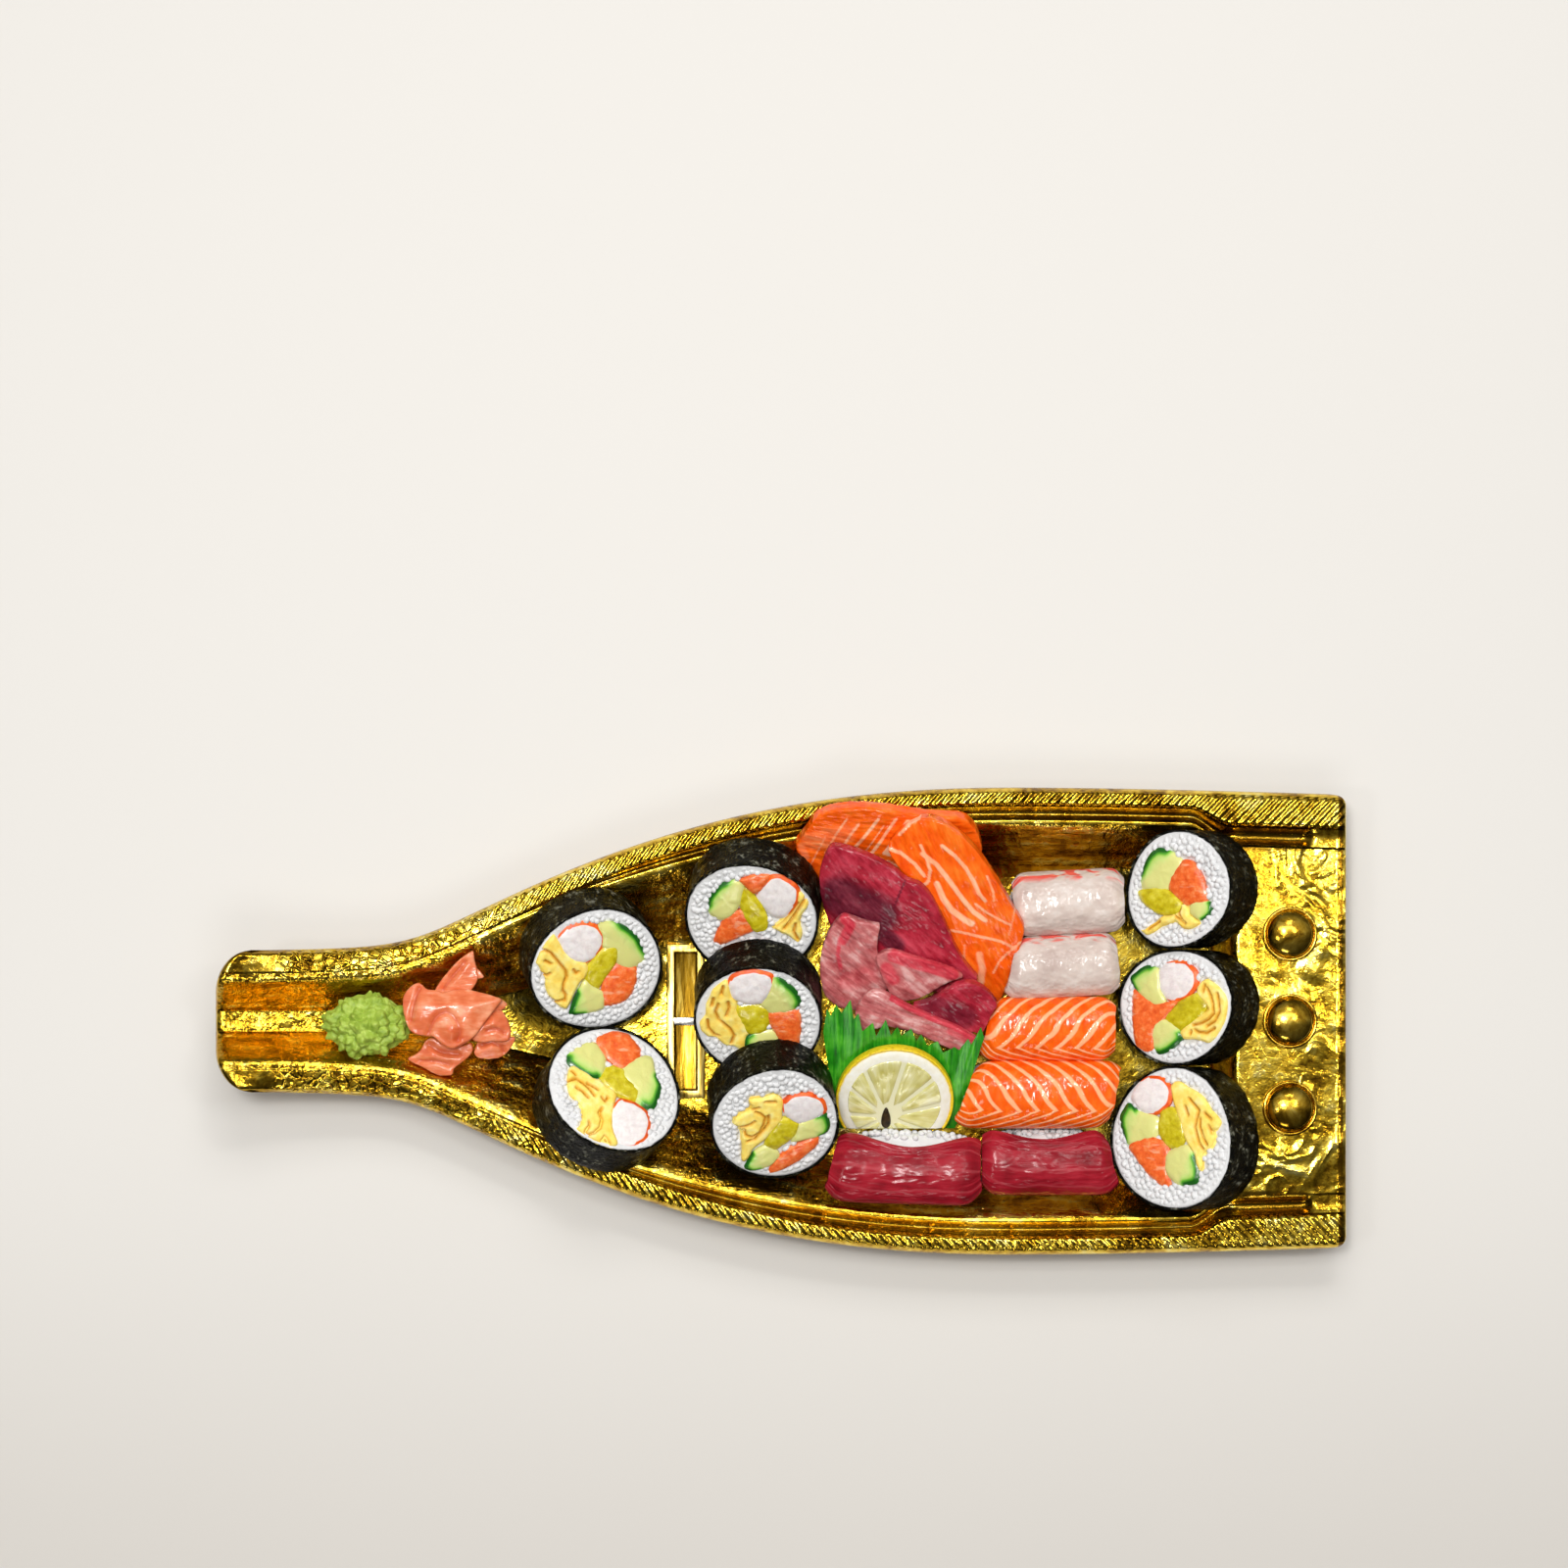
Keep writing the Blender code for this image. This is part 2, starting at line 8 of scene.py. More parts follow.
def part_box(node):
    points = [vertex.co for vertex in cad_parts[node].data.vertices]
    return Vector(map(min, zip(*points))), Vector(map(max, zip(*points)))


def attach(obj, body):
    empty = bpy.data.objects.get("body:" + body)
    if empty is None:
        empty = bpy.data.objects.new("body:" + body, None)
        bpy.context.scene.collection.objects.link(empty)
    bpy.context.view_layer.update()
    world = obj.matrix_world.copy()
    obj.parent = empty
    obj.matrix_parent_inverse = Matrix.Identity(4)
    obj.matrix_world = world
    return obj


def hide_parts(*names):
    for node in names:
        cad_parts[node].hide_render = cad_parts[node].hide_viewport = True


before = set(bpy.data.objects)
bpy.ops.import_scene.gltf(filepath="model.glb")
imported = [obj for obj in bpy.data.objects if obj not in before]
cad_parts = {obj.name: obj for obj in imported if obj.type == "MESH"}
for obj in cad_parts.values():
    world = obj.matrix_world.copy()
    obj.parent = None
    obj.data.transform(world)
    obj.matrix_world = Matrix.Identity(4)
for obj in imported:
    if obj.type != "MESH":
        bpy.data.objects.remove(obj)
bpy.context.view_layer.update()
bpy.ops.object.select_all(action="DESELECT")
print("frame loaded:", len(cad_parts), "nodes")


# shader wiring
class Wire:  # one socket, so that shader sums read as plain sums
    def __init__(self, finish, socket):
        self.finish = finish
        self.socket = socket

    def sum(self, kind, *others):
        return self.finish.node("ShaderNodeMath", {"operation": kind}, [self, *others])

    def back(self, kind, other):
        return self.finish.node("ShaderNodeMath", {"operation": kind}, [other, self])

    def __add__(self, other): return self.sum("ADD", other)
    def __radd__(self, other): return self.back("ADD", other)
    def __sub__(self, other): return self.sum("SUBTRACT", other)
    def __rsub__(self, other): return self.back("SUBTRACT", other)
    def __mul__(self, other): return self.sum("MULTIPLY", other)
    def __rmul__(self, other): return self.back("MULTIPLY", other)
    def __truediv__(self, other): return self.sum("DIVIDE", other)
    def __rtruediv__(self, other): return self.back("DIVIDE", other)
    def __pow__(self, other): return self.sum("POWER", other)
    def __neg__(self): return self.sum("MULTIPLY", -1.0)


class Finish:  # one Principled material and the nodes that feed it
    def __init__(self, name, **plain):
        self.material = bpy.data.materials.new(name)
        self.material.use_nodes = True
        self.tree = self.material.node_tree
        self.shader = self.tree.nodes["Principled BSDF"]
        for socket, value in plain.items():
            self.feed(socket.replace("_", " "), value)

    def node(self, kind, settings=None, inputs=None, out=0):
        made = self.tree.nodes.new(kind)
        for name, value in (settings or {}).items():
            setattr(made, name, value)
        pairs = inputs.items() if isinstance(inputs, dict) else enumerate(inputs or [])
        for key, value in pairs:
            self.join(made.inputs[key], value)
        return Wire(self, made.outputs[out])

    def join(self, socket, value):
        if isinstance(value, Wire):
            self.tree.links.new(value.socket, socket)
        elif hasattr(socket.default_value,
            "__len__") and len(value) == 3 and len(socket.default_value) == 4:
            socket.default_value = (*value, 1)
        else:
            socket.default_value = value

    def feed(self, name, value):
        self.join(self.shader.inputs[name], value)

    def place(self):
        return self.node("ShaderNodeTexCoord", out="Object")

    def lay(self, name="lay", out="Vector"):
        return self.node("ShaderNodeAttribute", {"attribute_name": name}, out=out)

    def split(self, vector):
        made = self.tree.nodes.new("ShaderNodeSeparateXYZ")
        self.join(made.inputs[0], vector)
        return [Wire(self, made.outputs[i]) for i in range(3)]

    def turn(self, vector, scale=(1, 1, 1), angle=(0, 0, 0), move=(0, 0, 0)):
        return self.node("ShaderNodeMapping", None, [vector, move, angle, scale])

    def join3(self, x, y, z):
        return self.node("ShaderNodeCombineXYZ", None, [x, y, z])

    def cloud(self, vector, scale, detail=3.0, rough=0.55, warp=0.0):
        inputs = {"Vector": vector, "Scale": scale, "Detail": detail, "Roughness": rough,
            "Distortion": warp}
        return self.node("ShaderNodeTexNoise", None, inputs)

    def cells(self, vector, scale, feature):
        return self.node("ShaderNodeTexVoronoi", {"feature": feature}, {"Vector": vector, "Scale": scale},
            "Distance")

    def bands(self, vector, way, scale, warp, detail, fine):
        inputs = {"Vector": vector, "Scale": scale, "Distortion": warp, "Detail": detail,
            "Detail Scale": fine}
        return self.node("ShaderNodeTexWave", {"wave_type": "BANDS", "bands_direction": way},
            inputs, "Fac")

    def ramp(self, value, stops):
        made = self.tree.nodes.new("ShaderNodeValToRGB")
        while len(made.color_ramp.elements) < len(stops):
            made.color_ramp.elements.new(0.5)
        for element, (at, colour) in zip(made.color_ramp.elements, stops):
            element.position = at
            element.color = (*colour, 1) if hasattr(colour, "__len__") else (colour, colour, colour, 1)
        self.join(made.inputs[0], value)
        return Wire(self, made.outputs[0])

    def step(self, value, low, high, a=0.0, b=1.0):
        inputs = {"Value": value, "From Min": low, "From Max": high, "To Min": a, "To Max": b}
        return self.node("ShaderNodeMapRange", {"interpolation_type": "SMOOTHSTEP"}, inputs)

    def blend(self, share, a, b):
        made = self.tree.nodes.new("ShaderNodeMix")
        made.data_type = "RGBA"
        for index, value in ((0, share), (6, a), (7, b)):
            self.join(made.inputs[index], value)
        return Wire(self, made.outputs[2])

    def relief(self, height, strength, depth):
        inputs = {"Strength": strength, "Distance": depth, "Height": height}
        self.feed("Normal", self.node("ShaderNodeBump", None, inputs))


# modelling helpers
def pick(piece):
    if bpy.context.mode != "OBJECT":
        bpy.ops.object.mode_set(mode="OBJECT")
    bpy.ops.object.select_all(action="DESELECT")
    piece.select_set(True)
    bpy.context.view_layer.objects.active = piece


def start(primitive, **sizes):
    bpy.ops.object.select_all(action="DESELECT")
    getattr(bpy.ops.mesh, primitive)(**sizes)
    return bpy.context.object


def modify(piece, kind, **settings):
    pick(piece)
    made = piece.modifiers.new(kind.lower(), kind)
    for name, value in settings.items():
        setattr(made, name, value)
    bpy.ops.object.modifier_apply(modifier=made.name)


def points(piece):
    flat = np.empty(len(piece.data.vertices) * 3)
    piece.data.vertices.foreach_get("co", flat)
    return flat.reshape(-1, 3)


def reshape(piece, spots):
    piece.data.vertices.foreach_set("co", np.asarray(spots, float).ravel())
    piece.data.update()


def mark(piece, name, values):
    kind = "FLOAT_VECTOR" if np.ndim(values) == 2 else "FLOAT"
    made = piece.data.attributes.new(name, kind, "POINT")
    made.data.foreach_set("vector" if kind == "FLOAT_VECTOR"
        else "value", np.asarray(values, float).ravel())


def joined(pieces):
    pick(pieces[0])
    for piece in pieces[1:]:
        piece.select_set(True)
    bpy.ops.object.join()
    return bpy.context.object


def copyOf(piece):
    made = piece.copy()
    made.data = piece.data.copy()
    bpy.context.scene.collection.objects.link(made)
    return made


def edited(piece, *steps):  # edit-mode steps on the whole of a piece
    pick(piece)
    bpy.ops.object.mode_set(mode="EDIT")
    for step, settings in steps:
        bpy.ops.mesh.select_all(action="SELECT")
        getattr(bpy.ops.mesh, step)(**settings)
    bpy.ops.object.mode_set(mode="OBJECT")


def finished(piece, name, body, nodes, finish, matrix=None, shift=(0, 0, 0), angle=None):
    pick(piece)
    if matrix is not None:
        if "lay" not in piece.data.attributes:
            mark(piece, "lay", points(piece) + np.array(shift))
        piece.data.transform(matrix)
    if angle is None:
        bpy.ops.object.shade_smooth()
    else:
        bpy.ops.object.shade_smooth_by_angle(angle=math.radians(angle))
    piece.name = name
    piece.data.name = name
    piece.data.materials.clear()
    piece.data.materials.append(finish.material)
    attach(piece, body)
    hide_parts(*nodes)
    return piece


def ease(low, high, value):
    share = np.clip((value - low) / (high - low), 0, 1)
    return share * share * (3 - 2 * share)


def leaning(direction, angle, heading=0):
    turned = math.radians(direction)
    return (Matrix.Rotation(turned, 3, "Z") @ Matrix.Rotation(math.radians(angle), 3, "Y")
            @ Matrix.Rotation(math.radians(heading) - turned, 3, "Z"))


def nodeSpots(node):
    return points(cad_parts[node])


def nodeFrame(node, turned):  # a node's middle and half sizes along its own turned axes
    own = nodeSpots(node) @ np.array(turned)
    low, high = own.min(0), own.max(0)
    middle = turned @ Vector((low + high) / 2)
    return Matrix.Translation(middle) @ turned.to_4x4(), (high - low) / 2


viewScale = 0.0003652  # metres a dot, at the height of the rim
viewMiddle = (800, 1042)  # the dot under the camera
viewHeight, viewRim = 1.404, 0.024  # heights of the camera and of the rim
fullTurn = 6.2832


def underView(dotX, dotY, high):  # a dot of the frame, at a height
    shrink = (viewHeight - high) / (viewHeight - viewRim)
    return (dotX - viewMiddle[0]) * viewScale * shrink, (viewMiddle[1] - dotY) * viewScale * shrink


def onPlane(dotX, dotY, matrix):  # a dot of the frame, on the plane of a matrix, in that plane's own axes
    middle, normal = matrix.translation, matrix.to_3x3() @ Vector((0, 0, 1))
    high = middle.z
    for _ in range(4):
        x, y = underView(dotX, dotY, high)
        high = middle.z - (normal.x * (x - middle.x) + normal.y * (y - middle.y)) / normal.z
    return (matrix.inverted() @ Vector((x, y, high))).to_2d()


def rounded(ring, passes=2, share=0.2):  # cuts the corners of a drawn outline
    for _ in range(passes):
        cut = []
        for (x0, y0), (x1, y1) in zip(ring, ring[1:] + ring[:1]):
            cut += [(x0 + (x1 - x0) * share, y0 + (y1 - y0) * share),
                (x1 + (x0 - x1) * share, y1 + (y0 - y1) * share)]
        ring = cut
    return ring


def polygonReach(angle, ring):  # how far an outline lies from the origin at an angle
    c, s = math.cos(angle), math.sin(angle)
    best = 0.0
    for (x0, y0), (x1, y1) in zip(ring, ring[1:] + ring[:1]):
        dx, dy = x1 - x0, y1 - y0
        base = c * dy - s * dx
        if abs(base) < 1e-12:
            continue
        share = (x0 * s - y0 * c) / base
        reach = (x0 * dy - y0 * dx) / base
        if -1e-6 <= share <= 1 + 1e-6 and reach > best:
            best = reach
    return best


def middleOf(ring):  # the centre of the area of an outline
    area = sumX = sumY = 0.0
    for (x0, y0), (x1, y1) in zip(ring, ring[1:] + ring[:1]):
        part = x0 * y1 - x1 * y0
        area, sumX, sumY = area + part, sumX + (x0 + x1) * part, sumY + (y0 + y1) * part
    return sumX / (3 * area), sumY / (3 * area)


def away(spots, line, closed=True):  # distance of each spot from a drawn line
    best = np.full(len(spots), 9.0)
    for first, last in zip(line, line[1:] + (line[:1] if closed else [])):
        a, b = np.array(first), np.array(last)
        along = np.clip(((spots - a) @ (b - a)) / max(1e-12, (b - a) @ (b - a)), 0, 1)
        best = np.minimum(best, np.linalg.norm(spots - a - along[:, None] * (b - a), axis=1))
    return best


def within(spots, ring):  # which spots lie inside an outline
    found = np.zeros(len(spots), bool)
    x, y = spots[:, 0], spots[:, 1]
    for (x0, y0), (x1, y1) in zip(ring, ring[1:] + ring[:1]):
        if y0 != y1:
            found ^= ((y0 > y) != (y1 > y)) & (x < (x1 - x0) * (y - y0) / (y1 - y0) + x0)
    return found


def drawnSlab(ring, thick, voxel, smooth):  # an outline raised to a slab of even small faces
    slab = start("primitive_circle_add", vertices=len(ring), radius=1, fill_type="NGON")
    reshape(slab, [(x, y, -thick / 2) for x, y in ring])
    edited(slab, ("extrude_region_move", {"TRANSFORM_OT_translate": {"value": (0, 0, thick)}}),
           ("normals_make_consistent", {"inside": False}))
    modify(slab, "REMESH", mode="VOXEL", voxel_size=voxel)
    modify(slab, "SMOOTH", factor=0.5, iterations=smooth)
    return slab


def pressed(spots, lines, matrix):  # distance of each spot from the nearest of several drawn lines
    flat = [[tuple(onPlane(dotX, dotY, matrix)) for dotX, dotY in line] for line in lines]
    return np.min([away(spots[:, :2], line, False) for line in flat],
        axis=0) if flat else np.full(len(spots), 9.0)


# stage: floor, camera and lights
stageSizes = {"floor": 12.0, "floorZ": -0.0004, "focal": 85.0, "sensor": 36, "shiftUp": 0.1513,
    "near": 0.01}

floorFinish = Finish("pale_floor", Roughness=0.75)
floorY = floorFinish.split(floorFinish.place())[1]
# painted shade: the floor colour darkens towards -Y, standing in for the falloff of light below the boat
floorShade = floorFinish.step(floorY + 0.05 * floorFinish.cloud(floorFinish.place(), 2.0), -0.25, 0.02)
floorFinish.feed("Base Color", floorFinish.blend(floorShade, (0.600, 0.574, 0.538),
    (0.725, 0.708, 0.680)))
floor = start("primitive_grid_add", x_subdivisions=8, y_subdivisions=8, size=stageSizes["floor"],
    location=(0, 0, stageSizes["floorZ"]))
bpy.ops.object.transform_apply(location=True)
floor.name = "studio_floor"
floor.data.materials.append(floorFinish.material)

bpy.ops.object.camera_add(location=(0, 0, viewHeight), rotation=(0, 0, 0))
camera = bpy.context.object
camera.name = "top_camera"
camera.data.lens = stageSizes["focal"]
camera.data.sensor_width = stageSizes["sensor"]
camera.data.shift_y = stageSizes["shiftUp"]
camera.data.clip_start = stageSizes["near"]
bpy.context.scene.camera = camera
bpy.context.scene.view_settings.view_transform = "Standard"

lamps = {  # place, size, watts, seen in gloss, seen in plain surfaces
    "key": ((0.10, 1.20, 1.45), (1.0, 0.6), 9, False, True),
    "fill": ((0.10, -0.90, 1.60), (1.0, 0.6), 4.5, False, True),
    "flash": ((-0.22, 0.22, 1.90), (0.30, 0.30), 14, True, True),
    "sparkPort": ((0.0, 0.50, 1.75), (1.6, 0.14), 4, True, True),
    "sparkFar": ((0.25, 0.95, 1.45), (0.30, 0.12), 2, True, True),
    "sparkStern": ((0.65, 0.25, 1.60), (0.14, 0.20), 2, True, True),
    "sparkBow": ((-0.75, -0.20, 1.55), (0.14, 0.20), 2, True, True),
    "sheen": ((-0.10, -1.20, 0.85), (0.45, 0.16), 1.5, True, False),
}
for name, (spot, size, watts, gloss, wash) in lamps.items():
    bpy.ops.object.light_add(type="AREA", location=spot)
    lamp = bpy.context.object
    lamp.name = name + "_light"
    lamp.data.shape = "RECTANGLE"
    lamp.data.size, lamp.data.size_y = size
    lamp.data.energy = watts
    lamp.data.color = (1.0, 0.985, 0.96)
    lamp.visible_glossy = gloss
    lamp.visible_diffuse = wash
    lamp.rotation_euler = (Vector((0, 0, 0)) - Vector(spot)).to_track_quat("-Z", "Y").to_euler()

sky = bpy.data.worlds.new("studio")  # a room that is pale overhead and to port, dim to starboard
sky.use_nodes = True
skyNodes, skyLinks = sky.node_tree.nodes, sky.node_tree.links
skyWay = skyNodes.new("ShaderNodeTexCoord")
skyAxes = skyNodes.new("ShaderNodeSeparateXYZ")
skyLinks.new(skyWay.outputs["Generated"], skyAxes.inputs[0])
skySide = skyNodes.new("ShaderNodeMapRange")
skySide.inputs["From Min"].default_value = -1
skyLinks.new(skyAxes.outputs["Y"], skySide.inputs["Value"])
skyMix = skyNodes.new("ShaderNodeVectorMath")
skyMix.operation = "MULTIPLY"
for index, (source, stops) in enumerate((
        (skyAxes.outputs["Z"], ((0.0, 0.10), (0.50, 0.26), (0.85, 0.58), (1.0, 0.95))),
        (skySide.outputs[0], ((0.25, 0.16), (0.44, 0.24), (0.50, 0.50), (0.56, 1.0), (0.72, 1.0),
            (1.0, 0.5))))):
    skyRamp = skyNodes.new("ShaderNodeValToRGB")
    for number, (at, level) in enumerate(stops):
        stop = skyRamp.color_ramp.elements[number] if number < 2 else skyRamp.color_ramp.elements.new(at)
        stop.position = at
        stop.color = (level, level * 0.99, level * 0.975, 1)
    skyLinks.new(source, skyRamp.inputs[0])
    skyLinks.new(skyRamp.outputs[0], skyMix.inputs[index])
skyLinks.new(skyMix.outputs[0], skyNodes["Background"].inputs["Color"])
bpy.context.scene.world = sky
print("stage set")


# tray: the formed sheet, from the same lines as its solid
tray = {
    "length": 0.420, "bowHalf": 0.0257, "beamHalf": 0.0868, "sternHalf": 0.0841, "beamX": 0.0867,
        "neckX": -0.138,
    "sidePower": 2.25, "neckBlend": 0.011, "sternTaper": 1.6, "bowCorner": (0.013, 0.0157),
    "sternCorner": (0.0042, 0.0042), "cornerFade": 1.6, "sheet": 0.001, "rim": 0.024, "bowRise": 0.012,
    "bowRiseX": -0.120, "channel": 0.013, "rampX": (-0.130, -0.072), "lip": 0.0014, "lipDrop": 0.003,
    "flange": (0.0072, 0.0050), "crown": 0.0002, "groove": (0.0022, 0.0062), "grooveX": (-0.118, 0.030),
    "grooveDepth": 0.0025, "ledge": 0.0205, "bead": 0.0012, "floorShare": (0.17, 0.67),
        "floorX": (-0.160, 0.060),
    "deck": 0.0225, "deckFootX": 0.1610, "deckX": 0.1690, "bendX": (0.1515, 0.1665), "bend": 0.0062,
    "grooveEndX": (0.1940, 0.1985), "endStepX": (0.2070, 0.2083), "endLipX": 0.2092,
    "stations": 380, "across": (7, 8, 7, 7, 3, 3, 3, 3, 6, 6, 4), "endRows": (0.0003, 0.0008),
        "flareX": (-0.190, -0.208),
    "film": 0.0008, "evenX": (-0.1955, 0.0045), "dents": 0.00022, "waves": 0.00018, "ridge": 0.0005,
        "clear": 0.0006,
}


def halfBreadth(x):
    before = max(0.0, (tray["beamX"] - x) / (tray["beamX"] - tray["neckX"]))
    after = max(0.0, (x - tray["beamX"]) / (tray["length"] / 2 - tray["beamX"]))
    side = tray["beamHalf"] - (tray["beamHalf"] - tray["bowHalf"]) * before ** tray["sidePower"]
    blended = (tray["bowHalf"] + side + math.hypot(tray["bowHalf"] - side, tray["neckBlend"])) / 2
    return blended - (tray["beamHalf"] - tray["sternHalf"]) * after ** tray["sternTaper"]


def cornerPush(x, y):
    push = 0.0
    for (long, wide), way in ((tray["bowCorner"], 1), (tray["sternCorner"], -1)):
        over = max(0.0, 1 - (halfBreadth(x) - abs(y)) / wide)
        fade = max(0.0, 1 - (tray["length"] / 2 + way * x) / (tray["cornerFade"] * long))
        push += way * long * (1 - math.sqrt(1 - over * over)) * fade
    return push


def between(pair, share):
    return pair[0] + (pair[1] - pair[0]) * share


def traySection(x):  # corners (y, z) from the centre line to the lip, and how far this is deck
    hull = ease(*tray["grooveX"], x)
    deck = ease(tray["deckFootX"], tray["deckX"], x)
    rise = max(0.0, (tray["bowRiseX"] - x) / (tray["bowRiseX"] + tray["length"] / 2))
    rim = tray["rim"] + tray["bowRise"] * rise * rise
    edge = halfBreadth(x)
    bend = tray["bend"] * ease(*tray["bendX"], x)
    flange = edge - tray["lip"] - between(tray["flange"], hull) - bend
    ledge = flange - between(tray["groove"], hull) - bend * 0.3
    floor = edge * between(tray["floorShare"], ease(*tray["floorX"], x))
    shelf = edge - tray["lip"]
    channel = rim - tray["channel"]
    bottom = channel + (tray["sheet"] - channel) * ease(*tray["rampX"], x)
    bottom += (tray["deck"] - bottom) * deck
    bead = rim + (tray["ledge"] - rim) * hull
    bead += (tray["deck"] - bead) * deck
    dip = bead - tray["grooveDepth"] * hull * (1 - ease(*tray["grooveEndX"], x))
    half = tray["bead"] / 2
    gutter = flange - ledge - half
    line = [(0, bottom), (floor / 2, bottom), (floor, bottom), ((floor + ledge) / 2, (bottom + bead) / 2),
            (ledge - half, bead), (ledge + half, bead), (ledge + half + gutter * 0.30, dip),
            (ledge + half + gutter * 0.62, dip), (flange, rim),
                ((flange + shelf) / 2, rim + tray["crown"]),
            (shelf, rim), (edge, rim - tray["lipDrop"])]
    step = ease(*tray["endStepX"], x)
    low = max(ease(tray["endLipX"], tray["length"] / 2, x),
        ease(-tray["endLipX"], -tray["length"] / 2, x))
    fall = tray["lipDrop"] * low
    raised = [(y, z + max(0.0, rim - z) * step - fall) for y, z in line[:-1]]
    return [*raised, (edge, rim - tray["lipDrop"] - fall / 3)], deck


def softened(line, passes=2):  # rounds the bends of a section and keeps its ends
    for _ in range(passes):
        line[1:-1] = (line[:-2] + 2 * line[1:-1] + line[2:]) / 4
    return line


def trayRow(x):
    corners, deck = traySection(x)
    spots, bands = [], []
    for index, count in enumerate(tray["across"]):
        (y0, z0), (y1, z1) = corners[index], corners[index + 1]
        for turn in range(count):
            share = turn / count
            spots.append((y0 + (y1 - y0) * share, z0 + (z1 - z0) * share))
            bands.append(index + share)
    spots.append(corners[-1])
    bands.append(len(corners) - 1)
    return softened(np.array(spots)), np.array(bands), deck


def laidOn(spots, matrix):  # keeps the underside of a soft piece above the sheet
    placed = np.array([matrix @ Vector(spot) for spot in spots])
    known = {}
    for place in placed:
        station = round(place[0], 3)
        if station not in known:
            known[station] = trayRow(station)[0]
        low = np.interp(abs(place[1]), known[station][:, 0], known[station][:, 1]) + tray["clear"]
        place[2] = max(place[2], low)
    back = matrix.inverted()
    return np.array([back @ Vector(place) for place in placed])


def buildTray():
    stations = tray["stations"]
    half = sum(tray["across"])
    piece = start("primitive_grid_add", x_subdivisions=2 * half, y_subdivisions=stations - 1, size=1)
    ends = tray["length"] / 2
    xs = np.linspace(-ends, ends, stations)
    xs[1:3] = -ends + np.array(tray["endRows"])
    xs[-3:-1] = ends - np.array(tray["endRows"][::-1])
    spots, bands, decks, runs = [], [], [], []
    run = 0.0
    for index, x in enumerate(xs):
        row, band, deck = trayRow(x)
        if index:
            run += math.hypot(x - xs[index - 1], halfBreadth(x) - halfBreadth(xs[index - 1]))
        whole = [(-y, z) for y, z in row[:0:-1]] + [tuple(s) for s in row]
        both = np.concatenate([band[:0:-1], band])
        for (y, z), b in zip(whole, both):
            flare = 1 + max(0.0, tray["rim"] + tray["bowRise"]
                - z) / viewHeight * float(ease(*tray["flareX"], x))
            spots.append((x * flare + cornerPush(x, y), y, z))
            bands.append(b)
            decks.append(deck)
            runs.append((run, halfBreadth(x) - abs(y), math.copysign(1, y)))
    spots, bands, decks = np.array(spots), np.array(bands), np.array(decks)
    sides = ease(-0.110, -0.060, spots[:, 0])
    flange = ease(7.6, 8.2, bands) * (1 - ease(9.7, 10.1, bands) * sides)
    wall = ease(1.7, 2.2, bands) * (1 - ease(3.6, 4.2, bands)) * (1 - decks)
    groove = ease(4.6, 5.6, bands) * (1 - ease(7.0, 7.9, bands)) * (1 - ease(0.188, 0.197, spots[:, 0]))
    ridge = np.exp(-((bands - 2.0) / 0.22) ** 2) * (1 - ease(-0.120, -0.095, spots[:, 0]))
    inner = decks * (1 - ease(4.4, 5.0, bands))
    dents = np.array([noise.fractal(Vector(s) * 260, 0.9, 2.0, 3) for s in spots])
    wavy = np.array([noise.noise(Vector((s[0] * 30, s[1] * 55, 3.1))) for s in spots])
    spots[:, 2] += (tray["dents"] * dents * np.maximum(flange, inner) + tray["waves"] * wavy * wall
                    + tray["ridge"] * ridge)
    reshape(piece, spots)
    mark(piece, "flange", flange)
    mark(piece, "wall", wall)
    mark(piece, "groove", groove)
    mark(piece, "deck", inner)
    mark(piece, "lay", np.array(runs))
    edited(piece, ("normals_make_consistent", {"inside": False}))
    if piece.data.polygons[len(piece.data.polygons) // 2].normal.z < 0:
        edited(piece, ("flip_normals", {}))
    modify(piece, "SOLIDIFY", thickness=tray["film"], offset=-1)
    spots = points(piece)
    behind = np.abs(spots[:, 0] - tray["evenX"][0]) < tray["evenX"][1]  # just behind the bow corners
    reach = np.where(behind, [halfBreadth(x) for x in spots[:, 0]], 1.0)
    spots[:, 1] = np.clip(spots[:, 1], -reach, reach)
    reshape(piece, spots)
    return piece


goldFinish = Finish("gold_film", Metallic=1.0)
goldPlace = goldFinish.place()
goldX, goldY = goldFinish.split(goldPlace)[:2]
goldRun, goldEdge, goldSide = goldFinish.split(goldFinish.lay())
goldFlange = goldFinish.lay("flange", "Fac")
goldWall = goldFinish.lay("wall", "Fac")
goldDeck = goldFinish.lay("deck", "Fac")
goldGroove = goldFinish.lay("groove", "Fac")
goldTip = goldFinish.step(goldX, -0.192, -0.180)
goldSides = goldFinish.step(goldX, -0.125, -0.085)
goldStones = goldFinish.step(goldFinish.cells(goldPlace, 330.0, "DISTANCE_TO_EDGE"), 0.0, 0.20)
goldTwist = goldFinish.join3(goldRun + 0.95 * goldEdge, goldEdge * 0.6, goldSide)
goldRope = goldFinish.bands(goldTwist, "X", 92.0, 1.6, 1.0, 1.0)
goldCurl = goldFinish.cloud(goldFinish.turn(goldPlace, (1, 1, 1), (0, 0, 0.6)), 46.0, 1.0, 0.4, 2.4)
goldStroke = 1.0 - ((goldCurl - 0.5) * 3.2).sum("ABSOLUTE").sum("MINIMUM", 1.0)
goldMask = goldFinish.step(goldFinish.cloud(goldPlace, 30.0, 2.0) + 6.0 * (goldX - 0.180) - 0.2
    * goldFinish.step(goldX, 0.196, 0.204), 0.36, 0.62)
goldGrain = goldFinish.cloud(goldFinish.turn(goldPlace, (45, 260, 200)), 1.0, 4.0, 0.62)
goldBlotch = goldFinish.cloud(goldPlace, 62.0, 5.0, 0.65, 0.6)
goldMottle = goldFinish.cloud(goldPlace, 150.0, 4.0, 0.6, 0.4)
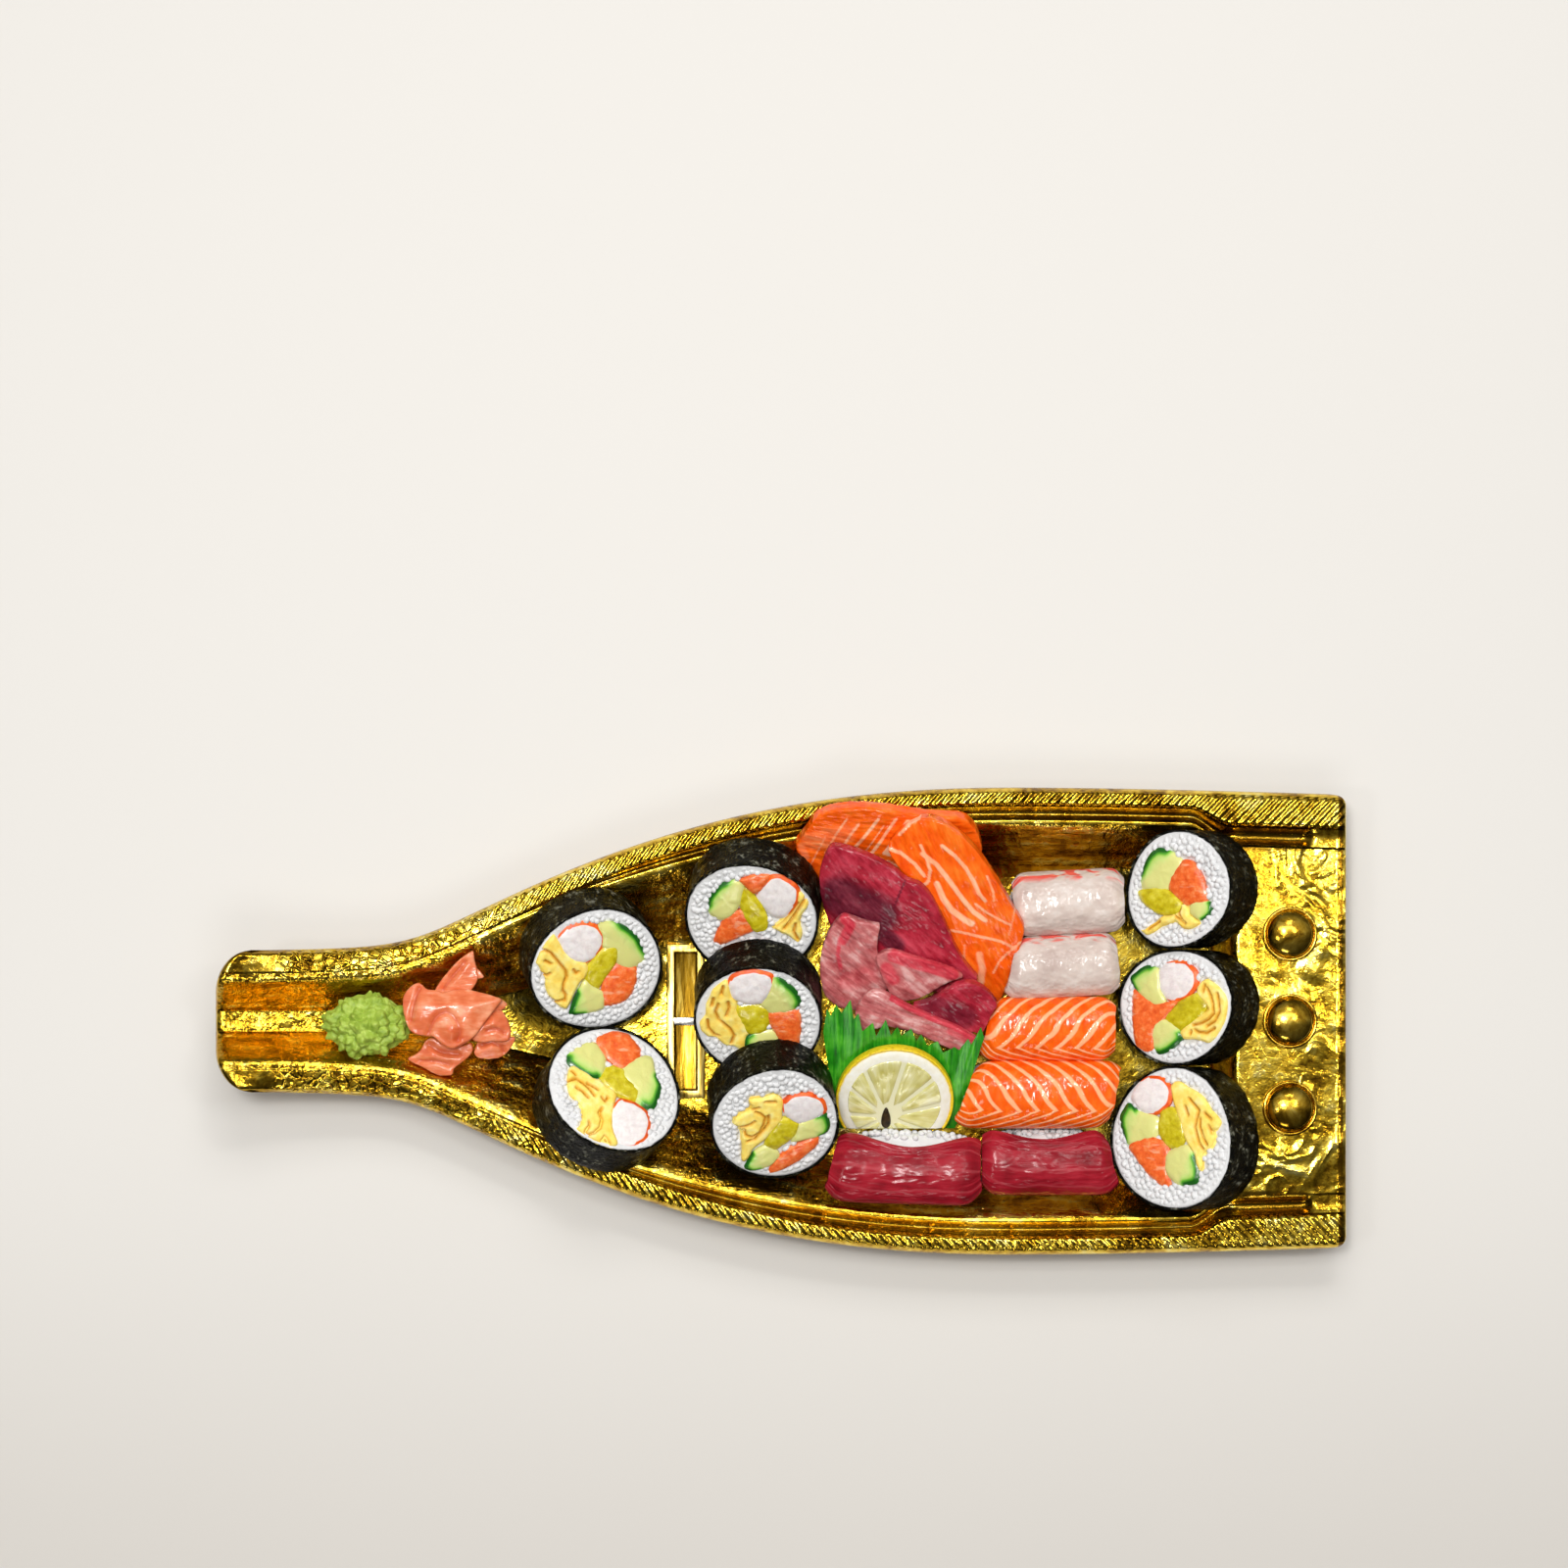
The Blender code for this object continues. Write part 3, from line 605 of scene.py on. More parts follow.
goldSpeck = goldFinish.cloud(goldPlace, 420.0, 3.0, 0.6)
goldTint = goldFinish.ramp(goldBlotch * 0.5 + goldSpeck * 0.25 + goldMottle * 0.25,
    [(0.40, (0.22, 0.11, 0.006)), (0.47, (0.62, 0.37, 0.022)), (0.54, (0.94, 0.66, 0.07)),
    (0.63, (1.0, 0.85, 0.28))])
goldBrown = goldFinish.ramp(goldGrain * 0.6 + goldMottle * 0.4,
    [(0.37, (0.20, 0.078, 0.003)), (0.455, (0.54, 0.26, 0.011)), (0.53, (0.90, 0.50, 0.024)),
    (0.61, (1.0, 0.82, 0.22))])
goldBow = 1.0 - goldFinish.step(goldX, -0.150, -0.110)
goldFilm = goldFinish.blend(goldWall, goldTint, goldFinish.blend(goldBow * 0.5, goldBrown,
    (0.42, 0.23, 0.006)))
# painted shade: a dark line at the step inside the stern lip
goldLine = goldFinish.step(goldX, 0.2064, 0.2070) * (1.0 - goldFinish.step(goldX, 0.2082, 0.2088))
goldPast = (goldX - 0.1925).sum("MAXIMUM", 0.0)
goldInto = goldY.sum("ABSOLUTE") - 0.0680
# painted shade: a band along the groove's line on the deck is darkened and closed in a round end, in
# colour only
goldRound = (goldPast * goldPast + goldInto * goldInto) ** 0.5
goldCap = goldFinish.step(goldX, 0.165, 0.172) * (1.0 - goldFinish.step(goldRound, 0.0042, 0.0052))
# painted shade and reflection: the groove, the stern step line and the groove's round end are darkened as
# shade, and the smooth flange at the bow tip as a dark reflection
goldDark = (goldGroove * 0.75).sum("MAXIMUM", goldLine).sum("MAXIMUM",
    goldFlange * (1.0 - goldTip) * 0.55).sum("MAXIMUM", goldCap * 0.85)
goldFinish.feed("Base Color", goldFinish.blend(goldDark, goldFilm, (0.20, 0.10, 0.006)))
goldFinish.feed("Roughness", 0.07 + 0.14 * goldBlotch + goldWall * 0.06)
goldStrip = (1.0 - goldWall) * (1.0 - goldFlange) * (1.0 - goldFinish.step(goldX, -0.120, -0.095))
goldAside = goldY + 0.014  # the deck falls away on both sides of this line
goldHeight = (goldFlange * goldTip * ((1.0 - goldSides) * 0.38 * goldStones
                                      + goldSides * (0.26 * goldRope + 0.04 * goldStones))
              + goldDeck * goldMask * 0.62 * goldStroke
              + goldWall * (0.8 * goldGrain + 0.5 * goldMottle + 0.3 * goldSpeck)
              + (1.0 + 0.3 * goldDeck) * (0.14 * goldBlotch + 0.20 * goldMottle + 0.06 * goldSpeck)
              - 400.0 * goldDeck * goldAside * goldAside
              + goldFlange * (90.0 - 35.0 * goldSides) * goldEdge + goldStrip * 0.75 * goldMottle)
goldFinish.relief(goldHeight, 1.0, 0.0013)

trayPiece = finished(buildTray(), "tray_sheet", "tray", ["tray"], goldFinish)
print("tray sheet formed:", len(trayPiece.data.polygons), "faces")


# slot frame and round bosses, formed in the same sheet
slot = {"x": -0.0372, "size": (0.0146, 0.0584), "wall": 0.0030, "rise": 0.0011, "floor": 0.0010,
    "bridge": 0.0032}


def buildSlot():
    wide, long = slot["size"]
    frameBlock = start("primitive_cube_add", size=1, location=(0, 0, 0))
    bpy.ops.transform.resize(value=(wide, long, 0.0016))
    bpy.ops.object.transform_apply(scale=True)
    bpy.ops.object.mode_set(mode="EDIT")
    bpy.ops.mesh.select_all(action="DESELECT")
    bpy.ops.object.mode_set(mode="OBJECT")
    for face in frameBlock.data.polygons:
        face.select = face.normal.z > 0.9
    bpy.ops.object.mode_set(mode="EDIT")
    bpy.ops.mesh.inset(thickness=slot["wall"])
    bpy.ops.mesh.extrude_region_move(TRANSFORM_OT_translate={"value": (0, 0, -0.0011)})
    bpy.ops.transform.resize(value=(0.94, 0.985, 1))
    bpy.ops.object.mode_set(mode="OBJECT")
    modify(frameBlock, "BEVEL", width=0.0004, segments=3, limit_method="ANGLE")
    return frameBlock


def buildBridge():
    bridge = start("primitive_cube_add", size=1)
    bpy.ops.transform.resize(value=(slot["size"][0] - slot["wall"], slot["bridge"], 0.0014))
    bpy.ops.object.transform_apply(scale=True)
    modify(bridge, "BEVEL", width=0.0005, segments=4, limit_method="ANGLE")
    return bridge


bosses = {"x": 0.1888, "pitch": 0.0325, "radius": 0.0089, "height": 0.0043, "ring": 0.0007,
    "deck": 0.0232}


def buildBoss():
    dome = start("primitive_uv_sphere_add", segments=48, ring_count=28, radius=bosses["radius"])
    bpy.ops.object.mode_set(mode="EDIT")
    bpy.ops.mesh.select_all(action="SELECT")
    bpy.ops.mesh.bisect(plane_co=(0, 0, 0.0006), plane_no=(0, 0, 1), clear_inner=True)
    bpy.ops.mesh.select_all(action="SELECT")
    bpy.ops.transform.resize(value=(1, 1, bosses["height"] / bosses["radius"]), center_override=(0, 0, 0))
    bpy.ops.object.mode_set(mode="OBJECT")
    lip = start("primitive_torus_add", major_segments=48, minor_segments=12,
                major_radius=bosses["radius"] + bosses["ring"], minor_radius=bosses["ring"])
    return joined([dome, lip])


smoothGold = Finish("gold_film_plain", Metallic=1.0)
smoothPlace = smoothGold.place()
smoothBlotch = smoothGold.cloud(smoothPlace, 110.0, 5.0, 0.65, 0.5)
smoothGold.feed("Base Color", smoothGold.ramp(smoothBlotch,
    [(0.36, (0.26, 0.13, 0.008)), (0.48, (0.56, 0.33, 0.025)), (0.60, (0.84, 0.57, 0.08)),
    (0.72, (0.95, 0.76, 0.22))]))
smoothGold.feed("Roughness", 0.08 + 0.16 * smoothBlotch)
smoothGold.relief(smoothBlotch, 0.25, 0.0006)

slotFinish = Finish("gold_film_slot", Metallic=1.0)
slotX, slotY, slotZ = slotFinish.split(slotFinish.lay())
slotStreak = slotFinish.cloud(slotFinish.join3(slotX * 380.0, slotY * 45.0, 0.0), 1.0, 3.0, 0.6)
# painted shade: the recess of the slot frame is coloured darker brown than its raised top
slotDeep = slotFinish.step(slotZ, -0.0002, 0.0005)
slotBase = slotFinish.ramp(slotStreak, [(0.36, (0.10, 0.048, 0.003)), (0.52, (0.27, 0.15, 0.010)),
    (0.66, (0.55, 0.38, 0.07))])
slotFinish.feed("Base Color", slotFinish.blend(slotDeep, slotBase,
    slotFinish.ramp(slotStreak, [(0.34, (0.42, 0.25, 0.02)), (0.60, (0.78, 0.58, 0.16))])))
slotFinish.feed("Roughness", 0.22 + 0.14 * slotStreak)
slotFinish.relief(slotStreak, 0.3, 0.0006)
# the slot bridge is coloured pale silver-beige
bridgeFinish = Finish("gold_film_worn", Metallic=1.0, Roughness=0.16)
bridgeCloud = bridgeFinish.cloud(bridgeFinish.place(), 500.0, 3.0)
bridgeFinish.feed("Base Color", bridgeFinish.ramp(bridgeCloud,
    [(0.35, (0.60, 0.56, 0.48)), (0.60, (0.92, 0.90, 0.86))]))
slotSeat = Matrix.Translation((slot["x"], 0, slot["floor"] + slot["rise"] - 0.0008))
finished(buildSlot(), "tray_slot_frame", "tray", ["tray"], slotFinish, slotSeat, angle=40)
finished(buildBridge(), "tray_slot_bridge", "tray", ["tray"], bridgeFinish, slotSeat, angle=40)
boss = buildBoss()
for number, side in enumerate((1, 0, -1)):
    spot = (bosses["x"], side * bosses["pitch"], bosses["deck"])
    finished(copyOf(boss), f"tray_boss_{number}", "tray", ["tray"],
        smoothGold, Matrix.Translation(spot))
bpy.data.objects.remove(boss)
print("slot frame and bosses formed")


# rolls: seaweed, rice, and the cut ends of the fillings
def buildPlug():  # a unit cylinder with rings on both ends, that every cut end is shaped from
    piece = start("primitive_cylinder_add", vertices=44, radius=1, depth=2, end_fill_type="NGON")
    for thickness in (0.035, 0.065, 0.10, 0.18, 0.22, 0.20):
        bpy.ops.object.mode_set(mode="OBJECT")
        for face in piece.data.polygons:
            face.select = abs(face.normal.z) > 0.9 and len(face.vertices) > 4
        bpy.ops.object.mode_set(mode="EDIT")
        bpy.ops.mesh.select_mode(type="FACE")
        bpy.ops.mesh.inset(thickness=thickness, use_individual=True)
    bpy.ops.mesh.poke()
    bpy.ops.object.mode_set(mode="OBJECT")
    return piece


def buildGrain():
    piece = start("primitive_uv_sphere_add", segments=8, ring_count=6, radius=1)
    spots = points(piece)
    spots[:, 2] -= 0.12 * spots[:, 0] ** 2  # a slight bow along the grain
    reshape(piece, spots)
    return piece


grainSizes = ((0.0013, 0.0018), (0.0011, 0.0013), (0.0010, 0.0012))  # half sizes along, across and up
plug = buildPlug()
grain = buildGrain()
grainSpots = points(grain)
grainFaces = [tuple(face.vertices) for face in grain.data.polygons]


def scattered(name, seats, chance):  # grains copied to seats of (place, normal), in one mesh
    spots, faces = [], []
    for place, normal in seats:
        size = Vector([chance.uniform(*limits) for limits in grainSizes])
        turned = normal.to_track_quat("Z", "Y").to_matrix() @ Matrix.Rotation(chance.uniform(0, fullTurn),
            3, "Z")
        turned = turned @ Matrix.Rotation(chance.gauss(0, 0.16), 3, "Y") @ Matrix.Diagonal(size)
        base = len(spots) * len(grainSpots)
        spots.append(grainSpots @ np.array(turned).T + np.array(place))
        faces += [tuple(base + corner for corner in face) for face in grainFaces]
    mesh = bpy.data.meshes.new(name)
    mesh.from_pydata(np.concatenate(spots).tolist(), [], faces)
    made = bpy.data.objects.new(name, mesh)
    bpy.context.scene.collection.objects.link(made)
    return made


riceFinish = Finish("cooked_rice", Roughness=0.45, Specular_IOR_Level=0.18)
riceCloud = riceFinish.cloud(riceFinish.place(), 260.0, 2.0)
riceFinish.feed("Base Color", riceFinish.ramp(riceCloud, [(0.30, (0.69, 0.695, 0.705)),
    (0.55, (0.745, 0.75, 0.76)), (0.75, (0.80, 0.805, 0.81))]))
riceFinish.relief(riceFinish.cloud(riceFinish.place(), 400.0, 2.0), 0.15, 0.0003)

noriFinish = Finish("toasted_seaweed", Specular_IOR_Level=0.07)
noriLay = noriFinish.lay()
noriCrinkle = noriFinish.cloud(noriFinish.turn(noriLay, (300, 300, 180)), 1.0, 4.0, 0.65, 1.0)
noriFibre = noriFinish.cloud(noriLay, 620.0, 3.0, 0.6)
noriPatch = noriFinish.cloud(noriLay, 190.0, 4.0, 0.65)
# the pale grey-green flecks in the seaweed's colour are partly its own mottling and partly painted
# highlight on the crinkles
noriFinish.feed("Base Color", noriFinish.ramp(noriFibre * 0.45 + noriPatch * 0.55,
    [(0.45, (0.0006, 0.0008, 0.0005)), (0.53, (0.004, 0.004, 0.002)), (0.575, (0.040, 0.041, 0.027)),
    (0.62, (0.19, 0.19, 0.15))]))
noriFinish.feed("Roughness", 0.22 + 0.26 * noriPatch)
noriFinish.relief(noriCrinkle + 0.35 * noriFibre, 1.0, 0.0024)

eggFinish = Finish("folded_egg", Roughness=0.45, Specular_IOR_Level=0.3, Subsurface_Weight=0.08,
    Subsurface_Radius=(1.0, 0.7, 0.2), Subsurface_Scale=0.0015)
eggCrease = eggFinish.lay("crease", "Fac")
eggCloud = eggFinish.cloud(eggFinish.place(), 420.0, 4.0, 0.6)
eggBroad = eggFinish.cloud(eggFinish.place(), 150.0, 2.0)
eggTint = eggFinish.ramp(eggCloud * 0.5 + eggBroad * 0.5, [(0.34, (0.94, 0.63, 0.085)),
    (0.50, (1.0, 0.78, 0.18)), (0.64, (1.0, 0.88, 0.34))])
# painted shade: the egg is coloured darker brown along its pressed creases
eggFold = eggFinish.ramp(eggCrease + 0.2 * (eggCloud - 0.5), [(0.20, 0.0), (0.50, 0.45), (0.85, 0.95)])
eggFinish.feed("Base Color", eggFinish.blend(eggFold, eggTint, (0.62, 0.27, 0.010)))
eggFinish.relief(eggCloud, 0.5, 0.0005)

crabFinish = Finish("crab_stick", Roughness=0.40, Subsurface_Weight=0.10,
    Subsurface_Radius=(1.0, 0.5, 0.3), Subsurface_Scale=0.0015)
crabSkin = crabFinish.lay("skin", "Fac")
crabCloud = crabFinish.cloud(crabFinish.turn(crabFinish.place(), (500, 500, 80)), 1.0, 4.0, 0.6)
crabWhite = crabFinish.ramp(crabCloud, [(0.30, (0.76, 0.69, 0.69)), (0.60, (0.90, 0.85, 0.84))])
crabRed = crabFinish.ramp(crabCloud, [(0.30, (0.72, 0.050, 0.003)), (0.65, (0.96, 0.17, 0.012))])
crabFinish.feed("Base Color", crabFinish.blend(crabFinish.step(crabSkin + 0.5 * (crabCloud - 0.5),
    0.35, 0.62), crabWhite, crabRed))
crabFinish.relief(crabCloud, 0.4, 0.0004)

cucumberFinish = Finish("cucumber", Roughness=0.26, Coat_Weight=0.4, Coat_Roughness=0.15,
    Subsurface_Weight=0.12, Subsurface_Radius=(0.6, 1.0, 0.3), Subsurface_Scale=0.002)
cucumberSkin = cucumberFinish.lay("skin", "Fac")
cucumberCloud = cucumberFinish.cloud(cucumberFinish.place(), 330.0, 4.0, 0.6)
cucumberFinish.feed("Base Color", cucumberFinish.ramp(cucumberSkin + 0.14 * (cucumberCloud - 0.5), [
    (0.02, (0.74, 0.74, 0.26)), (0.16, (0.62, 0.76, 0.24)), (0.34, (0.42, 0.68, 0.13)),
        (0.56, (0.10, 0.42, 0.025)), (0.78, (0.010, 0.12, 0.008))]))
cucumberFinish.relief(cucumberCloud, 0.45, 0.0005)

radishFinish = Finish("yellow_radish", Roughness=0.22, Coat_Weight=0.5, Coat_Roughness=0.12,
    Subsurface_Weight=0.15, Subsurface_Radius=(1.0, 0.8, 0.1), Subsurface_Scale=0.002)
radishCloud = radishFinish.cloud(radishFinish.place(), 360.0, 3.0)
radishFinish.feed("Base Color", radishFinish.ramp(radishCloud,
    [(0.30, (0.46, 0.36, 0.004)), (0.52, (0.64, 0.54, 0.012)), (0.72, (0.76, 0.68, 0.06))]))
radishFinish.relief(radishCloud, 0.5, 0.0006)

cubeSalmonFinish = Finish("raw_salmon_strip", Roughness=0.28, Coat_Weight=0.4, Coat_Roughness=0.15,
    Subsurface_Weight=0.15, Subsurface_Radius=(1.0, 0.3, 0.1), Subsurface_Scale=0.002)
cubeCloud = cubeSalmonFinish.cloud(cubeSalmonFinish.place(), 420.0, 4.0, 0.65)
cubeBand = cubeSalmonFinish.cloud(cubeSalmonFinish.turn(cubeSalmonFinish.place(), (140, 420, 100),
    (0, 0, 0.7)), 1.0, 2.0)
cubeTint = cubeSalmonFinish.ramp(cubeCloud, [(0.30, (0.76, 0.085, 0.012)), (0.52, (0.93, 0.165, 0.028)),
    (0.74, (0.98, 0.34, 0.12))])
cubeSalmonFinish.feed("Base Color", cubeSalmonFinish.blend(cubeSalmonFinish.step(cubeBand, 0.58, 0.70,
    0.0, 0.6), cubeTint, (0.97, 0.50, 0.30)))
cubeSalmonFinish.relief(cubeCloud, 0.6, 0.0006)

fillingFinishes = {"egg": eggFinish, "crab": crabFinish, "cucumber": cucumberFinish,
    "radish": radishFinish, "salmon": cubeSalmonFinish}

# fillings of each roll as the eye sees them on its cut face: kind, where its skin faces,
# outline in dots of the frame; creases: the folds drawn on its egg
rolls = {
    "roll_bow_port": {"lean": (-58, 30), "wobble": (0.012, 0.4, 0.012, 1.0), "creases": [[(547, 974),
        (550, 970), (556, 969), (562, 972), (567, 978), (572, 984), (577, 990), (578, 996), (575, 1003),
        (574, 1010), (577, 1015), (576, 1021)], [(556, 980), (562, 983)], [(552, 993), (558, 995),
        (561, 993)], [(585, 989), (588, 993), (590, 991)], [(561, 1019), (567, 1022), (574, 1020)],
        [(554, 957), (558, 955)]], "fillings": [
        ("crab", 45, [(571, 957), (582, 946), (595, 942), (609, 946), (615, 956), (614, 965), (606, 976),
            (597, 981), (584, 979), (576, 970)]),
        ("egg", 0, [(560, 949), (566, 954), (571, 962), (578, 972), (588, 979), (599, 982), (601, 990),
            (597, 998), (592, 1002), (587, 1012), (582, 1024), (578, 1030), (572, 1028), (564, 1021),
            (559, 1015), (556, 1006), (557, 999), (552, 992), (550, 986), (541, 983), (540, 975),
            (545, 967), (550, 957)]),
        ("cucumber", 40, [(611, 945), (623, 942), (636, 946), (648, 956), (654, 968), (658, 978),
            (648, 987), (643, 990), (631, 984), (626, 971), (614, 965), (617, 956)]),
        ("radish", 0, [(628, 965), (629, 976), (625, 985), (617, 996), (611, 1009), (598, 1002),
            (600, 990), (608, 978), (617, 968)]),
        ("salmon", 0, [(628, 985), (643, 990), (648, 988), (647, 1002), (642, 1015), (628, 1024),
            (617, 1024), (615, 1015), (618, 1002)]),
        ("cucumber", 195, [(597, 1001), (603, 1009), (617, 1015), (614, 1028), (601, 1032), (582, 1035),
            (586, 1024), (592, 1012)])]},
    "roll_bow_starboard": {"lean": (50, 32), "wobble": (0.015, 2.2, 0.010, 0.3), "creases": [[(580, 1103),
        (588, 1101), (594, 1105), (600, 1110), (606, 1118)], [(583, 1093), (587, 1097)], [(599, 1106),
        (610, 1112)], [(614, 1120), (617, 1124), (620, 1120)], [(614, 1131), (611, 1136), (614, 1143),
        (612, 1151), (606, 1156), (600, 1158), (597, 1155), (601, 1149)], [(601, 1145), (601, 1147)],
        [(614, 1164), (617, 1160), (622, 1167), (614, 1164)], [(588, 1110), (594, 1114), (600, 1120)]],
        "fillings": [
        ("salmon", 0, [(609, 1060), (629, 1052), (642, 1056), (653, 1071), (650, 1079), (636, 1090),
            (623, 1081)]),
        ("cucumber", 235, [(581, 1076), (606, 1062), (617, 1079), (614, 1095), (604, 1099), (592, 1092),
            (581, 1084)]),
        ("cucumber", -30, [(637, 1090), (658, 1079), (665, 1082), (667, 1099), (673, 1109), (668, 1128),
            (662, 1131), (647, 1120), (654, 1115), (637, 1099)]),
        ("radish", 0, [(615, 1096), (623, 1088), (637, 1092), (645, 1106), (653, 1117), (645, 1123),
            (629, 1115), (614, 1102)]),
        ("egg", 0, [(581, 1089), (585, 1086), (592, 1090), (602, 1096), (606, 1100), (612, 1101),
            (618, 1107), (627, 1112), (630, 1118), (627, 1126), (626, 1136), (625, 1148), (627, 1156),
            (631, 1166), (629, 1172), (620, 1175), (608, 1170), (597, 1165), (586, 1158), (585, 1154),
            (592, 1148), (595, 1138), (594, 1128), (588, 1122), (582, 1118), (579, 1108), (579, 1098)]),
        ("crab", 20, [(632, 1123), (645, 1126), (658, 1134), (662, 1145), (658, 1162), (645, 1168),
            (629, 1165), (625, 1152), (625, 1137)])]},
    "roll_mid_port": {"lean": (-98, 33), "wobble": (0.010, 1.2, 0.014, 2.0), "creases": [[(814, 921),
        (808, 930), (800, 938), (792, 944)], [(822, 916), (814, 928), (806, 940), (800, 947)],
        [(812, 942), (810, 950), (814, 958)]], "fillings": [
        ("cucumber", 140, [(725, 917), (736, 904), (751, 899), (758, 904), (753, 921), (745, 934),
            (736, 937), (725, 931)]),
        ("radish", 0, [(759, 904), (767, 912), (775, 924), (782, 937), (781, 946), (770, 949), (761, 937),
            (756, 921)]),
        ("crab", 60, [(787, 895), (797, 892), (811, 899), (815, 907), (812, 920), (800, 935), (789, 934),
            (773, 918), (776, 909)]),
        ("salmon", 0, [(756, 898), (770, 895), (786, 893), (775, 907), (770, 910), (761, 902)]),
        ("salmon", 0, [(736, 946), (745, 934), (758, 929), (765, 937), (768, 949), (754, 954), (739, 963),
            (729, 960)]),
        ("egg", 0, [(816, 908), (822, 910), (830, 915), (830, 920), (824, 926), (818, 934), (815, 941),
            (819, 950), (818, 958), (814, 962), (803, 954), (794, 950), (789, 946), (797, 940),
            (806, 930), (812, 921)])]},
    "roll_mid_centre": {"lean": (-90, 33), "wobble": (0.012, 0.2, 0.010, 0.9), "creases": [[(733, 1024),
        (730, 1032), (733, 1039), (739, 1044), (745, 1049), (749, 1056), (746, 1064)], [(743, 1022),
        (744, 1028), (741, 1036)], [(722, 1040), (723, 1048), (729, 1055), (733, 1056)],
        [(728, 1018), (726, 1026)], [(738, 1006), (736, 1014)]], "fillings": [
        ("crab", 70, [(747, 996), (754, 990), (770, 988), (787, 995), (789, 1006), (778, 1021),
            (764, 1023), (750, 1017), (744, 1006)]),
        ("cucumber", 35, [(789, 999), (798, 1001), (811, 1012), (816, 1024), (801, 1034), (786, 1034),
            (776, 1024), (786, 1010)]),
        ("egg", 0, [(741, 999), (744, 1003), (745, 1010), (748, 1018), (752, 1022), (752, 1030),
            (757, 1036), (761, 1044), (763, 1050), (766, 1054), (762, 1058), (761, 1068), (763, 1076),
            (757, 1073), (749, 1067), (741, 1067), (734, 1062), (731, 1058), (722, 1058), (715, 1052),
            (712, 1044), (716, 1040), (720, 1036), (720, 1030), (720, 1025), (724, 1018), (726, 1010),
            (732, 1005), (738, 1000)]),
        ("radish", 0, [(751, 1028), (767, 1026), (782, 1031), (784, 1043), (779, 1052), (764, 1054),
            (754, 1040)]),
        ("salmon", 0, [(784, 1034), (815, 1031), (815, 1043), (814, 1065), (798, 1068), (795, 1056),
            (787, 1043)]),
        ("cucumber", 195, [(762, 1057), (790, 1052), (797, 1065), (789, 1071), (767, 1079),
            (761, 1071)])]},
    "roll_mid_starboard": {"lean": (-80, 33), "wobble": (0.014, 1.6, 0.012, 0.2),
        "creases": [[(771, 1134), (776, 1136), (781, 1140), (779, 1148), (775, 1155), (768, 1160),
        (761, 1158), (759, 1152)], [(754, 1150), (760, 1149), (766, 1147), (770, 1144)], [(784, 1138),
        (784, 1146), (778, 1154), (770, 1162), (763, 1164)], [(781, 1124), (791, 1124)],
        [(774, 1130), (768, 1132)]], "fillings": [
        ("egg", 0, [(764, 1122), (770, 1121), (780, 1120), (790, 1116), (797, 1120), (800, 1126),
            (798, 1134), (799, 1142), (794, 1149), (788, 1155), (781, 1163), (774, 1168), (768, 1173),
            (765, 1180), (760, 1186), (756, 1184), (757, 1172), (756, 1162), (758, 1154), (753, 1150),
            (748, 1147), (750, 1141), (756, 1137), (764, 1133), (768, 1129), (764, 1126)]),
        ("crab", 75, [(800, 1126), (809, 1118), (825, 1117), (839, 1123), (842, 1134), (829, 1142),
            (814, 1146), (803, 1137)]),
        ("radish", 0, [(795, 1143), (804, 1143), (815, 1148), (812, 1156), (798, 1168), (789, 1174),
            (781, 1168), (787, 1156)]),
        ("cucumber", 10, [(815, 1148), (829, 1142), (842, 1137), (846, 1149), (842, 1156), (828, 1160),
            (808, 1165), (814, 1156)]),
        ("cucumber", 205, [(759, 1193), (770, 1178), (781, 1170), (792, 1176), (793, 1181), (782, 1190),
            (767, 1195)]),
        ("salmon", 0, [(786, 1193), (795, 1182), (811, 1170), (834, 1160), (832, 1170), (820, 1179),
            (801, 1192), (787, 1199)])]},
    "roll_stern_port": {"lean": (-177, 37), "press": (0.955, 1.035, 0.0018),
        "wobble": (0.030, 0.0, 0.020, 5.5), "creases": [[(1205, 926), (1203, 932), (1206, 938)],
        [(1200, 935), (1210, 942)], [(1172, 948), (1184, 940)]], "fillings": [
        ("cucumber", 135, [(1166, 893), (1175, 873), (1183, 867), (1197, 872), (1206, 881), (1202, 893),
            (1194, 902), (1186, 910), (1177, 906), (1167, 906)]),
        ("salmon", 0, [(1197, 893), (1209, 879), (1217, 881), (1227, 899), (1231, 920), (1212, 921),
            (1200, 915), (1193, 904)]),
        ("radish", 0, [(1162, 910), (1175, 907), (1191, 910), (1205, 921), (1200, 931), (1184, 931),
            (1167, 921)]),
        ("cucumber", -20, [(1216, 923), (1234, 921), (1235, 931), (1225, 937), (1216, 931)]),
        ("egg", 0, [(1161, 950), (1166, 950), (1172, 945), (1180, 940), (1186, 934), (1194, 934),
            (1200, 931), (1204, 924), (1208, 922), (1214, 927), (1213, 933), (1218, 936), (1224, 941),
            (1222, 944), (1213, 948), (1206, 947), (1203, 943), (1199, 939), (1194, 942), (1186, 944),
            (1178, 951), (1168, 958), (1163, 955)])]},
    "roll_stern_centre": {"lean": (180, 37), "wobble": (0.012, 0.8, 0.012, 2.9),
        "creases": [[(1230, 1005), (1228, 1012)], [(1232, 1008), (1236, 1016), (1238, 1024), (1239, 1034),
        (1234, 1040), (1226, 1044), (1218, 1046)], [(1243, 1014), (1244, 1024), (1245, 1032),
        (1240, 1042), (1232, 1047)], [(1240, 1049), (1232, 1054), (1224, 1053), (1220, 1051)],
        [(1216, 1052), (1215, 1055)]], "fillings": [
        ("crab", 0, [(1183, 993), (1191, 984), (1209, 982), (1220, 992), (1220, 1006), (1209, 1018),
            (1194, 1020), (1183, 1009)]),
